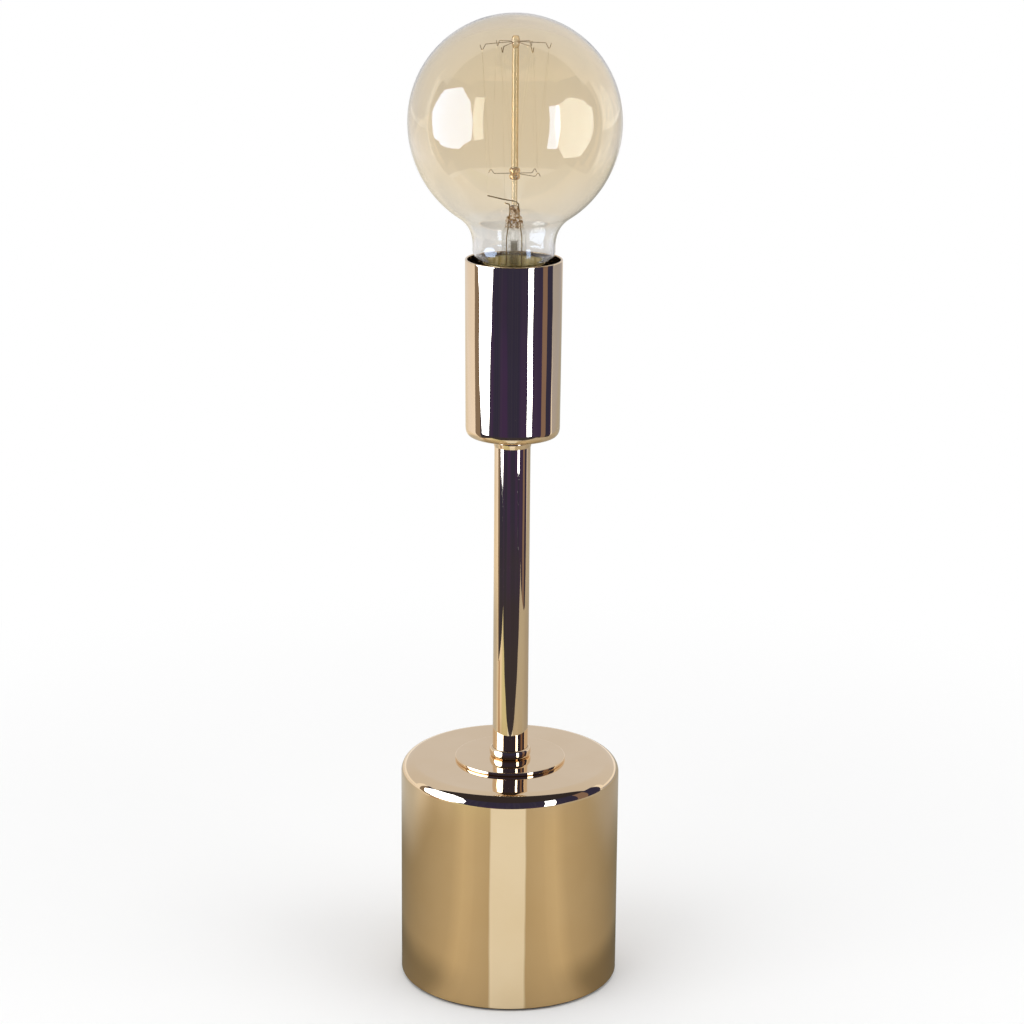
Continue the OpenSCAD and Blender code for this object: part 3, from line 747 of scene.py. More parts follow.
def turned(
    name: str,
    outline: Sequence[Point],
    sides: int = 192,
    depth: Callable[[float, float], float] | None = None,
    marks: Sequence[float] | None = None,
    sharp: float = 40.0,
) -> bpy.types.Object:
    """Turn a closed outline round the lamp's axis.

    Args:
        name: the new object's name.
        outline: (radius, height) points; one on the axis becomes a pole.
        sides: steps in a turn.
        depth: gives the half-depth along Y at a radius and height, where the shape is flattened.
        marks: one number per point, kept in the vertex attribute "thread".
        sharp: edges that turn by more than this stay sharp, in degrees.

    Returns:
        The new object.
    """
    shape = bmesh.new()
    layer = shape.verts.layers.float.new("thread")
    turns = [(math.cos(math.tau * k / sides), math.sin(math.tau * k / sides)) for k in range(sides)]
    rings = []
    for i, (r, z) in enumerate(outline):
        across = depth(r, z) if depth else r
        spots = [(0.0, 0.0, z)] if r < TINY else [(r * c, across * s, z) for c, s in turns]
        rings.append([shape.verts.new(spot) for spot in spots])
        for vertex in rings[-1]:
            vertex[layer] = marks[i] if marks else 0.0
    for low, high in zip(rings, [*rings[1:], rings[0]]):
        for near in range(sides):
            far = near + 1
            under = (low[near % len(low)], low[far % len(low)])
            over = (high[far % len(high)], high[near % len(high)])
            corners = (*under, *over)
            face = list(dict.fromkeys(corners))
            if len(face) > 2:
                shape.faces.new(face)
    return poured(name, shape, sharp)


def turning(degrees: float, axis: str, place: Place = (0.0, 0.0, 0.0)) -> Matrix:
    """A turn round an axis, and then a move to a place."""
    return Matrix.Translation(place) @ Matrix.Rotation(math.radians(degrees), 4, axis)


def block(name: str, size: float, place: Matrix) -> bpy.types.Object:
    """A cube of a size, put in place by a matrix, to cut other shapes with."""
    shape = bmesh.new()
    bmesh.ops.create_cube(shape, size=size)
    bmesh.ops.transform(shape, matrix=place, verts=shape.verts)
    return poured(name, shape)


def carved(body: bpy.types.Object, tool: bpy.types.Object, how: str = "DIFFERENCE") -> bpy.types.Object:
    """Cut or keep part of a body with a tool, which is used up.

    Args:
        body: the object to change.
        tool: a closed object.
        how: the Boolean modifier's operation.

    Returns:
        The body, with a plain mesh.
    """
    modifier = body.modifiers.new(how.lower(), "BOOLEAN")
    modifier.object, modifier.operation, modifier.solver = tool, how, "EXACT"
    plain(body, modifier)
    bpy.data.objects.remove(tool)
    return body


def plain(body: bpy.types.Object, modifier: bpy.types.Modifier) -> None:
    """Keep a modifier's result as the object's plain mesh, and take the modifier away."""
    mesh = bpy.data.meshes.new_from_object(body.evaluated_get(bpy.context.evaluated_depsgraph_get()))
    body.modifiers.remove(modifier)
    body.data = mesh


def chains(name: str, paths: Iterable[Sequence[Place]]) -> bpy.types.Object:
    """Make an object whose mesh is only edges.

    Args:
        name: the new object's name.
        paths: the points of each open chain.

    Returns:
        The new object.
    """
    points, edges = [], []
    for path in paths:
        first = len(points)
        points += [tuple(p) for p in path]
        edges += [(i, i + 1) for i in range(first, len(points) - 1)]
    mesh = bpy.data.meshes.new(name)
    mesh.from_pydata(points, edges, [])
    return new_object(name, mesh)


# ---------- Geometry trees ----------


class Growth(Board):
    """A Geometry Nodes tree with named sizes, run on an object and kept as a plain mesh."""

    title = "growth"
    sizes: tuple[str, ...] = ()

    def __init__(self) -> None:
        """Build the tree once."""
        super().__init__(bpy.data.node_groups.new(self.title, "GeometryNodeTree"))
        self.keys = {"Geometry": self.socket("Geometry", "Geometry")}
        for size in self.sizes:
            self.keys[size] = self.socket(size, "Float")
        self.keys["Finish"] = self.socket("Finish", "Material")
        self.socket("Geometry", "Geometry", "OUTPUT")
        self.entry = self.node("NodeGroupInput")
        smoothed = self.node("GeometryNodeSetShadeSmooth", {"Geometry": self.shape()})
        real = self.node("GeometryNodeRealizeInstances", {0: smoothed})
        finish = self.node("GeometryNodeSetMaterial", {"Geometry": real, "Material": self.size("Finish")})
        self.node("NodeGroupOutput", {"Geometry": finish})

    def socket(self, name: str, kind: str, way: str = "INPUT") -> str:
        """Add one socket to the tree's interface.

        Args:
            name: its name.
            kind: Geometry, Float or Material.
            way: INPUT or OUTPUT.

        Returns:
            The socket's identifier.
        """
        made = self.tree.interface.new_socket(name, in_out=way, socket_type=f"NodeSocket{kind}")
        return made.identifier

    def size(self, name: str) -> Signal:
        """Read one of the tree's own inputs."""
        return self.read(self.entry, name)

    def moved(self, offset: Signal) -> bpy.types.Node:
        """Move each point of the incoming mesh by an offset."""
        return self.node("GeometryNodeSetPosition", {"Geometry": self.size("Geometry"), "Offset": offset})

    def shape(self) -> bpy.types.Node:
        """Build the nodes that make the shape, and return the last one."""
        raise NotImplementedError

    def grow(
        self, template: bpy.types.Object, finish: bpy.types.Material, **sizes: float
    ) -> bpy.types.Object:
        """Run the tree on an object.

        Args:
            template: the object that it starts from.
            finish: the material that it sets.
            sizes: values of the named inputs, with _ for a space.

        Returns:
            The same object, with the result as its mesh.
        """
        modifier = template.modifiers.new(self.title, "NODES")
        modifier.node_group = self.tree
        for name, value in sizes.items():
            modifier[self.keys[name.replace("_", " ")]] = value
        modifier[self.keys["Finish"]] = finish
        plain(template, modifier)
        return template


class Thread(Growth):
    """Raises a screw thread on turned rings, where their attribute "thread" is above 0."""

    title = "screw thread"
    sizes = ("depth", "pitch", "datum")

    def shape(self) -> bpy.types.Node:
        """Move each point outwards by the thread's height there.

        Returns:
            The last node.
        """
        x, y, z = self.split(self.value("GeometryNodeInputPosition"))
        rise = (z - self.size("datum")) / self.size("pitch") * math.tau
        wave = ((rise - y.maths("ARCTAN2", x)).maths("COSINE") + 1.0) * 0.5
        share = self.value("GeometryNodeInputNamedAttribute", {"Name": "thread"})
        push = wave * share * self.size("depth") / (x * x + y * y + TINY * TINY) ** 0.5
        return self.moved(self.vector(X=x * push, Y=y * push))


class Wire(Growth):
    """Sweeps a round wire along every chain of edges, with its bends rounded."""

    title = "bent wire"
    sizes = ("wire radius", "bend radius")

    def shape(self) -> bpy.types.Node:
        """Chains to curves, corners to arcs, curves to tubes.

        Returns:
            The last node.
        """
        chain = self.node("GeometryNodeMeshToCurve", {0: self.size("Geometry")})
        inputs = {"Curve": chain, "Count": 5, "Radius": self.size("bend radius"), "Limit Radius": True}
        bent = self.node("GeometryNodeFilletCurve", inputs, mode="POLY")
        inputs = {"Resolution": 10, "Radius": self.size("wire radius")}
        profile = self.node("GeometryNodeCurvePrimitiveCircle", inputs)
        inputs = {"Curve": bent, "Profile Curve": profile, "Fill Caps": True}
        return self.node("GeometryNodeCurveToMesh", inputs)


class Melt(Growth):
    """Makes melted glass lumpy above a height, with a fixed pattern of lumps."""

    title = "melted lumps"
    sizes = ("start height", "fade", "lump size", "lump depth")

    def shape(self) -> bpy.types.Node:
        """Move each point along its normal by a noise that fades in above the start height.

        Returns:
            The last node.
        """
        spot = self.value("GeometryNodeInputPosition")
        height = self.split(spot)[2]
        inputs = {"Vector": spot, "Scale": 1.0 / self.size("lump size"), "Detail": 1.0}
        lumps = self.value("ShaderNodeTexNoise", inputs)
        share = ((height - self.size("start height")) / self.size("fade")).clamped()
        push = (lumps - 0.55) * share * self.size("lump depth")
        normal = self.node("GeometryNodeInputNormal")
        return self.moved(self.value("ShaderNodeVectorMath", {0: normal, "Scale": push}, operation="SCALE"))


class Ring(Growth):
    """Sets copies of a template round the lamp's axis."""

    title = "copies in a ring"
    sizes = ("count", "radius", "first turn")

    def shape(self) -> bpy.types.Node:
        """Instance the template on points, each turned to face outwards.

        Returns:
            The last node.
        """
        spots = self.node("GeometryNodePoints", {"Count": self.size("count"), "Radius": MM})
        turn = self.value("GeometryNodeInputIndex") / self.size("count") * math.tau + self.size("first turn")
        x, y = (turn.maths(name) * self.size("radius") for name in ("COSINE", "SINE"))
        placed = self.node("GeometryNodeSetPosition", {"Geometry": spots, "Position": self.vector(X=x, Y=y)})
        inputs = {"Points": placed, "Instance": self.size("Geometry"), "Rotation": self.vector(Z=turn)}
        return self.node("GeometryNodeInstanceOnPoints", inputs)


class Stack(Growth):
    """Sets copies of a template one above another, at heights of its own."""

    title = "copies in a stack"
    sizes = ("height 1", "height 2", "height 3", "height 4", "height 5")

    def shape(self) -> bpy.types.Node:
        """Join one moved copy for each height.

        Returns:
            The last node.
        """
        join = self.node("GeometryNodeJoinGeometry")
        for size in self.sizes:
            inputs = {"Geometry": self.size("Geometry"), "Translation": self.vector(Z=self.size(size))}
            self.feed(join, 0, self.node("GeometryNodeTransform", inputs))
        return join


# ---------- Fitting pieces to the frame ----------


@dataclass(frozen=True)
class Piece:
    """A finished shape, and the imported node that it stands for.

    A round piece of cloth also has the width that it was cut to, and the node that it is glued to.
    """

    shape: bpy.types.Object
    node: str
    cut: float = 0.0
    glued_to: str = ""


class Fitter:
    """Gives every node its finish, and every new piece its body."""

    def __init__(self, record: Mapping) -> None:
        """Read which slot and which body each node has, and build the finishes."""
        self.slots = {row["node"]: row["material_slot"] for row in record["subparts"]}
        self.bodies = {n: body for body, nodes in record["behaviour"]["bodies"].items() for n in nodes}
        self.materials = {finish.slot: painted(finish.slot, finish.shader) for finish in FINISHES}

    def finish(self, node: str) -> bpy.types.Material:
        """The material of a node's slot."""
        return self.materials[self.slots[node]]

    def dress(self, shape: bpy.types.Object, node: str) -> None:
        """Give a shape the only material of a node's slot."""
        shape.data.materials.clear()
        shape.data.materials.append(self.finish(node))

    def fit(self, piece: Piece) -> None:
        """Dress a piece and set it on the body that its node rides on.

        Args:
            piece: the piece.
        """
        shape, node = piece.shape, piece.node
        self.dress(shape, node)
        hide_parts(node)
        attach(shape, self.bodies[node])
        triangles = sum(len(face.vertices) - 2 for face in shape.data.polygons)
        log.info("%s rides on %s, %d triangles", shape.name, self.bodies[node], triangles)


@dataclass
class Assembly:
    """A group of pieces that are built together."""

    fitter: Fitter

    def pieces(self) -> list[Piece]:
        """Build every piece of the group."""
        raise NotImplementedError


# ---------- Base ----------


@dataclass
class Base(Assembly):
    """The can with its felt, its inlet and the screws of its bottom plate."""

    can: Room = room("base_can")
    felt: Room = room("felt_pad")
    plate: Room = room("base_plate")
    grommet: Room = room("cord_grommet")
    screws: Room = room("plate_screws")
    crush: float = 0.35 * MM
    wall: float = 1.2 * MM
    top_edge: float = 6 * MM
    foot_edge: float = 0.9 * MM
    rod_hole: float = 5.2 * MM
    row_gap: float = 1.1 * MM
    inlet_hole: float = 4.8 * MM
    inlet_reach: float = 9 * MM
    inlet_bore: float = 3.3 * MM
    inlet_gap: float = 0.1 * MM
    inlet_lip: float = 0.5 * MM
    flange: float = 1.4 * MM
    screw_circle: float = 36 * MM
    screw_shank: float = 1.5 * MM
    screw_turn: float = 30.0
    screw_count: int = 3
    recess: Place = (3 * MM, 0.6 * MM, 1.6 * MM)

    def pieces(self) -> list[Piece]:
        """Felt, can, grommet and plate screws."""
        return [
            Piece(self.felt_disc(), "felt_pad", 2 * self.felt.radius, "base_plate"),
            Piece(self.shell(), "base_can"),
            Piece(self.inlet(), "cord_grommet"),
            Piece(self.plate_screws(), "plate_screws"),
        ]

    def felt_disc(self) -> bpy.types.Object:
        """A die-cut disc whose edges are a little crushed.

        Returns:
            The disc.
        """
        r, z0, z1 = self.felt.span
        outline = guarded([(0.0, z0), *rim(r, z0, z1, self.crush, 4), (0.0, z1)], step=3 * MM)
        return turned("felt_disc", outline, 160, sharp=70)

    def shell(self) -> bpy.types.Object:
        """The drawn can: rounded over at the top, open below, with the hole for the grommet.

        Returns:
            The can.
        """
        r, z0, z1 = self.can.span
        in_r, in_z = r - self.wall, z1 - self.wall
        rows = [(r, self.grommet.middle + self.row_gap * i) for i in range(-6, 7)]
        outline = [
            (in_r, z0),
            *rounded(Corner.OUTER_FOOT, r, z0, self.foot_edge, 8),
            *rows,
            *rounded(Corner.OUTER_TOP, r, z1, self.top_edge, 24),
            (self.rod_hole, z1),
            (self.rod_hole, in_z),
            *reversed(rounded(Corner.OUTER_TOP, in_r, in_z, self.top_edge - self.wall, 12)),
            *[(in_r, z) for _, z in reversed(rows)],
        ]
        hole, reach = self.inlet_hole, self.inlet_reach
        drill = turned("hole", [(0.0, -reach), (hole, -reach), (hole, reach), (0.0, reach)], 96)
        drill.data.transform(turning(90, "X", (0, r, self.grommet.middle)))
        return carved(turned("can_shell", guarded(outline), 256), drill)

    def inlet(self) -> bpy.types.Object:
        """The grommet: a rounded flange outside, a flat one inside, and a flared bore.

        Returns:
            The grommet.
        """
        inner, outer = self.grommet.low.y, self.grommet.high.y
        edge, neck, bore = self.grommet.high.x, self.inlet_hole - self.inlet_gap, self.inlet_bore
        face, lip = outer - self.flange, self.inlet_lip
        outline = [
            (bore, inner + lip),
            *rounded(Corner.INNER_FOOT, bore, inner, lip, 6),
            *rounded(Corner.OUTER_FOOT, edge, inner, lip, 6),
            (edge, inner + self.flange),
            (neck, inner + self.flange),
            (neck, face),
            (edge, face),
            *cubic(*beside((edge, face), (0, 0.3)),
                   *beside((edge, outer), (0, -0.2), (-0.8, 0), (-2.2, 0)), 10),
            *rounded(Corner.INNER_TOP, bore, outer, lip, 6),
        ]
        made = turned("inlet_grommet", guarded(outline), 96)
        made.data.transform(turning(-90, "X", (0, 0, self.grommet.middle)))
        return made

    def plate_screws(self) -> bpy.types.Object:
        """Countersunk screws with a cross recess, set in a ring.

        Returns:
            The screws, as one piece.
        """
        z0, sink, tip, shank = self.plate.bottom, self.plate.top, self.screws.top, self.screw_shank
        head = shank + sink - z0
        outline = [(0.0, z0), *beside((head, z0), (0, 0), (0, 0.1)), (shank, sink),
                   *beside((shank, tip), (0, -1), (-0.6, 0)), (0.0, tip)]
        screw = turned("plate_screw_set", outline, 32)
        for turn in (0, 90):
            arm = turning(turn, "Z", (0, 0, z0)) @ Matrix.Diagonal((*self.recess, 1))
            carved(screw, block("recess", 1.0, arm))
        return Ring().grow(screw, self.fitter.finish("plate_screws"), count=float(self.screw_count),
                           radius=self.screw_circle, first_turn=math.radians(self.screw_turn))


# ---------- Stem ----------


@dataclass
class Stem(Assembly):
    """The disc, the two rings, the tube, and the rod with its nuts."""

    disc: Room = room("base_disc")
    ring: Room = room("foot_ring")
    tube: Room = room("stem_tube")
    collar: Room = room("top_collar")
    rod: Room = room("threaded_rod")
    nuts: Room = room("rod_nuts")
    disc_edge: float = 0.5 * MM
    wall: float = 1.0 * MM
    burr: float = 0.12 * MM
    ring_gap: float = 0.1 * MM
    bead_lip: float = 0.1 * MM
    bead_round: float = 0.86
    collar_middle: float = 0.42
    rod_hole: float = 5.2 * MM
    rod_bore: float = 3.5 * MM
    rod_pitch: float = 1.0 * MM
    rod_thread: float = 0.55 * MM
    nut_height: float = 4.0 * MM
    nut_flats: float = 14.0 * MM
    nut_bevel: float = 0.55 * MM
    nut_gap: float = 0.05 * MM
    star: float = 0.8 * MM

    def pieces(self) -> list[Piece]:
        """Disc, rings, tube, rod and nuts."""
        return [
            Piece(self.flat_disc(), "base_disc"),
            Piece(self.foot_bead(), "foot_ring"),
            Piece(self.plain_tube(), "stem_tube"),
            Piece(self.hanging_collar(), "top_collar"),
            Piece(self.rod_with_thread(), "threaded_rod"),
            Piece(self.nut_set(), "rod_nuts"),
        ]

    def flat_disc(self) -> bpy.types.Object:
        """The disc, its two outer edges eased.

        Returns:
            The disc.
        """
        r, z0, z1 = self.disc.span
        outline = [(self.rod_hole, z0), *rim(r, z0, z1, self.disc_edge, 8), (self.rod_hole, z1)]
        return turned("step_disc", guarded(outline), 256)

    def foot_bead(self) -> bpy.types.Object:
        """A bead with a full round outside, slipped over the tube.

        Returns:
            The bead.
        """
        r, z0, z1 = self.ring.span
        in_r, half, steps = self.tube.radius + self.ring_gap, (z1 - z0) / 2, 36
        slim, side = in_r + self.bead_lip, []
        for i in range(steps + 1):
            a = math.pi * (i / steps - 0.5)
            out = max(0.0, math.cos(a)) ** self.bead_round
            rise = math.copysign(abs(math.sin(a)) ** self.bead_round, a)
            side.append((slim + (r - slim) * out, z0 + half * (1 + rise)))
        return turned("foot_bead", [(in_r, z0), *side, (in_r, z1)], 192, sharp=50)

    def hanging_collar(self) -> bpy.types.Object:
        """A collar whose lower part tapers towards the tube.

        Returns:
            The collar.
        """
        r, z0, z1 = self.collar.span
        in_r, middle = self.tube.radius + self.ring_gap, z0 + self.collar_middle * (z1 - z0)
        below, above = beside((in_r, z0), (0.06, 0), (0.2, 0.6)), beside((r, middle), (-0.1, -0.55), (0, 0))
        taper = cubic(*below, *above, 16)
        return turned("collar", guarded([(in_r, z0), *taper, (r, z1), (in_r, z1)], 0.1 * MM), 192)

    def plain_tube(self) -> bpy.types.Object:
        """The tube, its ends deburred.

        Returns:
            The tube.
        """
        (r, z0, z1), burr = self.tube.span, self.burr
        in_r = r - self.wall
        outline = [(in_r + burr, z0), (r - burr, z0), (r, z0 + burr), (r, z1 - burr),
                   (r - burr, z1), (in_r + burr, z1), (in_r, z1 - burr), (in_r, z0 + burr)]
        return turned("tube", guarded(outline), 192)

    def rod_with_thread(self) -> bpy.types.Object:
        """The hollow rod with its thread from end to end.

        Returns:
            The rod.
        """
        r, z0, z1 = self.rod.span
        fade = 4
        root, steps = r - self.rod_thread, math.ceil((z1 - z0) / self.rod_pitch * fade)
        rows = [(root, z0 + (z1 - z0) * i / steps) for i in range(steps + 1)]
        marks = [0.0, *(min(1.0, i / fade, (steps - i) / fade) for i in range(steps + 1)), 0.0]
        shape = turned("rod", [(self.rod_bore, z0), *rows, (self.rod_bore, z1)], 20, marks=marks, sharp=60)
        return Thread().grow(shape, self.fitter.finish("threaded_rod"), depth=self.rod_thread,
                             pitch=self.rod_pitch, datum=z0)

    def nut_set(self) -> bpy.types.Object:
        """Five equal nuts, chamfered at both ends.

        Returns:
            The nuts, as one piece.
        """
        high, across, bore = self.nut_height, self.nut_flats / math.sqrt(3), self.rod.radius + self.nut_gap
        bevel, flat = self.nut_bevel, 0.96 * self.nut_flats / 2
        wide = bore + bevel / 2
        blank = [(wide, 0.0), (across, 0.0), (across, high), (wide, high),
                 (bore, high - bevel / 2), (bore, bevel / 2)]
        nut = turned("nuts", blank, 48, sharp=25)
        # Six flats: each cutter is a large cube outside one flat
        outside = Matrix.Translation((self.nut_flats / 2 + 2 * across, 0, 0))
        for k in range(6):
            carved(nut, block("flat", 4 * across, turning(30 + 60 * k, "Z") @ outside))
        tip = across + bevel
        cone = [(0.0, 0.0), (flat, 0.0), (tip, bevel), (tip, high - bevel), (flat, high), (0.0, high)]
        carved(nut, turned("chamfer", cone, 48), "INTERSECT")
        nut.data.set_sharp_from_angle(angle=math.radians(25))
        heights = {f"height_{i + 1}": z for i, z in enumerate(self.nut_heights())}
        return Stack().grow(nut, self.fitter.finish("rod_nuts"), **heights)

    def nut_heights(self) -> list[float]:
        """Undersides of the five nuts, worked out from what each one clamps.

        Returns:
            The heights, from the lowest nut up.
        """
        weight, can, cup, holder = (
            Room.of(node) for node in ("weight_washers", "can_washer", "cup_washer", "holder_base"))
        high = self.nut_height
        return [self.nuts.bottom, weight.top, can.bottom - self.star - high, cup.top + self.star,
                holder.bottom - high]


# ---------- Cup and holder ----------


@dataclass
class Cup(Assembly):
    """The deep cup and the lampholder's upper moulded shell."""

    cup: Room = room("holder_cup")
    sleeve: Room = room("holder_sleeve")
    shell: Room = room("screw_shell")
    foot: float = 21.4 * MM
    wall: float = 1.0 * MM
    floor: float = 1.2 * MM
    edge: float = 3.0 * MM
    bend: float = 4.4 * MM
    lip: float = 0.4 * MM
    rod_hole: float = 5.2 * MM
    sleeve_edge: float = 0.5 * MM
    gap: float = 0.05 * MM

    def pieces(self) -> list[Piece]:
        """Cup and sleeve."""
        return [Piece(self.drawn_cup(), "holder_cup"), Piece(self.moulded_sleeve(), "holder_sleeve")]

    def drawn_cup(self) -> bpy.types.Object:
        """The cup: rounded below, with a thin rolled lip.

        Returns:
            The cup.
        """
        r, z0, z1 = self.cup.span
        foot, edge, inside = self.foot, self.edge, z0 + self.floor
        bottom = cubic((foot, z0 + self.bend), (foot, z0 + 0.27 * self.bend),
                       (foot - 0.4 * edge, z0), (foot - 1.2 * edge, z0), 28)
        outline = [
            (self.rod_hole, z0),
            *reversed(bottom),
            *rounded(Corner.OUTER_TOP, r, z1, self.lip, 6),
            *rounded(Corner.INNER_TOP, r - self.wall, z1, self.lip, 6),
            *reversed(rounded(Corner.OUTER_FOOT, foot - self.wall, inside, edge - self.wall, 14)),
            (self.rod_hole, inside),
        ]
        return turned("cup", guarded(outline), 256)

    def moulded_sleeve(self) -> bpy.types.Object:
        """The holder's upper shell, with a rounded rim inside and out.

        Returns:
            The sleeve.
        """
        (r, z0, z1), edge = self.sleeve.span, self.sleeve_edge
        in_r = self.shell.radius + self.gap
        outline = [(in_r, z0), (r, z0), *rounded(Corner.OUTER_TOP, r, z1, edge, 8),
                   *rounded(Corner.INNER_TOP, in_r, z1, edge / 2, 5)]
        return turned("sleeve", guarded(outline), 128)


# ---------- Bulb ----------


@dataclass(frozen=True)
class Hooks:
    """One row of bent wires: their turns, how far they reach, and how deep their ends dip."""

    bead: Room
    start: float
    reach: float
    dip: float
    turns: tuple[float, ...]

    @property
    def sag(self) -> float:
        """How far a wire's end stands below its bead's middle."""
        return 0.05 * self.reach


@dataclass
class Bulb(Assembly):
    """The globe with its cap, its inner tube, its rod and its wires."""

    glass: Room = room("bulb_glass")
    cap: Room = room("bulb_cap")
    tip: Room = room("tip_contact")
    stem: Room = room("glass_stem")
    pump: Room = room("exhaust_tube")
    rod: Room = room("glass_rod")
    low_bead: Room = room("lower_bead")
    top_bead: Room = room("upper_bead")
    globe_r: float = 47.5 * MM
    drop: float = 49.6 * MM
    globe_end: float = 147.5
    wall: float = 0.8 * MM
    neck: float = 18.5 * MM
    neck_run: float = 2.0 * MM
    shoulder: float = 5.0 * MM
    pitch: float = 3.629 * MM
    thread: float = 1.1 * MM
    major: float = 13.15 * MM
    tail_in: float = 1.9 * MM
    cap_gap: float = 0.35 * MM
    tube_r: float = 5.6 * MM
    tube_top: float = 10.6 * MM
    pump_wall: float = 0.7 * MM
    pump_edge: float = 0.3 * MM
    upper_turns: tuple[float, ...] = (196, 122, 63, 14, -61, -112)
    lower_turns: tuple[float, ...] = (159, 92, 38, -24, -87)
    upper_reach: float = 16.2 * MM
    lower_reach: float = 12.4 * MM
    upper_dip: float = 2.4 * MM
    lower_dip: float = -1.6 * MM
    support_r: float = 0.16 * MM
    lead_r: float = 0.28 * MM
    strand_r: float = 0.03 * MM
    knots: tuple[Point, ...] = (
        (4.2, 0.3), (3.8, 1.4), (3.85, 2.4), (3.3, 3.6), (2.3, 4.4), (2.05, 5.0), (2.45, 6.0), (2.3, 7.2),
        (1.7, 8.3), (1.15, 8.8), (0.0, 9.0))

    def pieces(self) -> list[Piece]:
        """Glass, cap, stem, rod, beads and wires."""
        wire, upper, lower = Wire(), *self.hooks()
        sleeve_r = self.rod.radius + 0.05 * MM
        return [
            Piece(self.envelope(), "bulb_glass"),
            Piece(self.threaded_cap(), "bulb_cap"),
            Piece(self.pressed_stem(), "glass_stem"),
            Piece(self.pump_tube(), "exhaust_tube"),
            Piece(self.inner_rod(), "glass_rod"),
            Piece(self.lobed_bead("lower_knot", self.low_bead, sleeve_r, 2), "lower_bead"),
            Piece(self.lobed_bead("upper_knot", self.top_bead, 0.0, 1), "upper_bead"),
            Piece(self.supports(wire, "upper_hooks", "upper_supports", upper), "upper_supports"),
            Piece(self.supports(wire, "lower_hooks", "lower_supports", lower), "lower_supports"),
            Piece(self.leads(wire), "lead_wires"),
            Piece(self.strand(wire, upper, lower), "filament"),
        ]

    def hooks(self) -> tuple[Hooks, Hooks]:
        """The upper and the lower row of bent wires."""
        r = self.rod.radius
        upper = Hooks(self.top_bead, r - 0.4 * MM, self.upper_reach, self.upper_dip, self.upper_turns)
        return upper, Hooks(self.low_bead, r + 0.5 * MM, self.lower_reach, self.lower_dip, self.lower_turns)

    @property
    def centre(self) -> float:
        """Height of the globe's widest line."""
        return self.glass.top - self.globe_r

    @property
    def minor(self) -> float:
        """Radius at the root of the cap's thread."""
        return self.major - self.thread

    @property
    def cap_bore(self) -> float:
        """Radius inside the cap."""
        return self.major - self.tail_in + self.cap_gap

    def glass_line(self, inset: float) -> list[Point]:
        """The bulb's line from its top down to its tail.

        Args:
            inset: distance inside the outer face.

        Returns:
            (radius, height) points.
        """
        wide, deep, steps, top = self.glass.top - self.centre - inset, self.drop - inset, 97, self.cap.top
        neck, throat, tail = self.neck - inset, self.major - inset, self.major - self.tail_in - inset
        line = []
        for i in range(steps):
            a = math.radians(self.globe_end * i / steps)
            line.append((wide * math.sin(a), self.centre + (wide if a < math.pi / 2 else deep) * math.cos(a)))
        a = math.radians(self.globe_end)
        start = Vector((wide * math.sin(a), self.centre + deep * math.cos(a)))
        run = Vector((wide * math.cos(a), -deep * math.sin(a))).normalized()
        neck_z = top + self.shoulder
        neck_top = Vector((neck, neck_z + self.neck_run))
        corner = start + run * ((neck - start.x) / run.x)
        line += cubic(start, start.lerp(corner, 0.7), neck_top.lerp(corner, 0.7), neck_top, 24)
        line += cubic((neck, neck_z), (neck, neck_z - 0.55 * self.shoulder),
                      *beside((throat, top), (2.4, 1.6), (0, 0.2)), 16)
        line += [*beside((throat, top), (-0.2, -2.4)), *beside((tail, top), (0, -4.6))]
        return [*line, (tail, self.stem.bottom)]

    def envelope(self) -> bpy.types.Object:
        """The blown glass, one wall thick, open at its tail."""
        outer, inner = self.glass_line(0.0), self.glass_line(self.wall)
        return turned("globe", [*reversed(outer), *inner], 192, sharp=75)

    def threaded_cap(self) -> bpy.types.Object:
        """The cap: a rolled thread outside, plain inside, its upper edge flared round the glass.

        Returns:
            The cap.
        """
        z0, top, pitch, tip = self.cap.bottom, self.cap.top, self.pitch, self.tip.bottom
        bore, minor, major, edge = self.cap_bore, self.minor, self.major, self.major + 0.8 * MM
        start, end = tip + 5.4 * MM, tip + 22.8 * MM
        rows = math.ceil((end - start) / (pitch / 16))
        foot = [*beside((bore, z0), (-1.4, 0)), *beside((minor, z0), (-0.9, 0))]
        wall = [(minor, start + (end - start) * i / rows) for i in range(rows + 1)]
        flare = [
            *beside((minor, end), (0.3, 0.5)),
            *beside((edge, top), (-0.3, -2.8), (-0.05, -0.3), (0, -0.1), (-0.1, 0)),
            *beside((major, top), (0.45, 0), (0.35, -0.1), (0.1, -2.6)),
            *beside((bore, end), (0, -0.6)),
            *beside((bore, z0), (0, 2.1), (-1.4, 0.6)),
        ]
        marks = [eased(min(1.0, min(z - start, end - z) / (0.5 * pitch))) for _, z in wall]
        marks = [*[0.0] * len(foot), *marks, *[0.0] * len(flare)]
        shape = turned("cap", [*foot, *wall, *flare], 96, marks=marks, sharp=60)
        return Thread().grow(shape, self.fitter.finish("bulb_cap"), depth=self.thread, pitch=pitch, datum=tip)

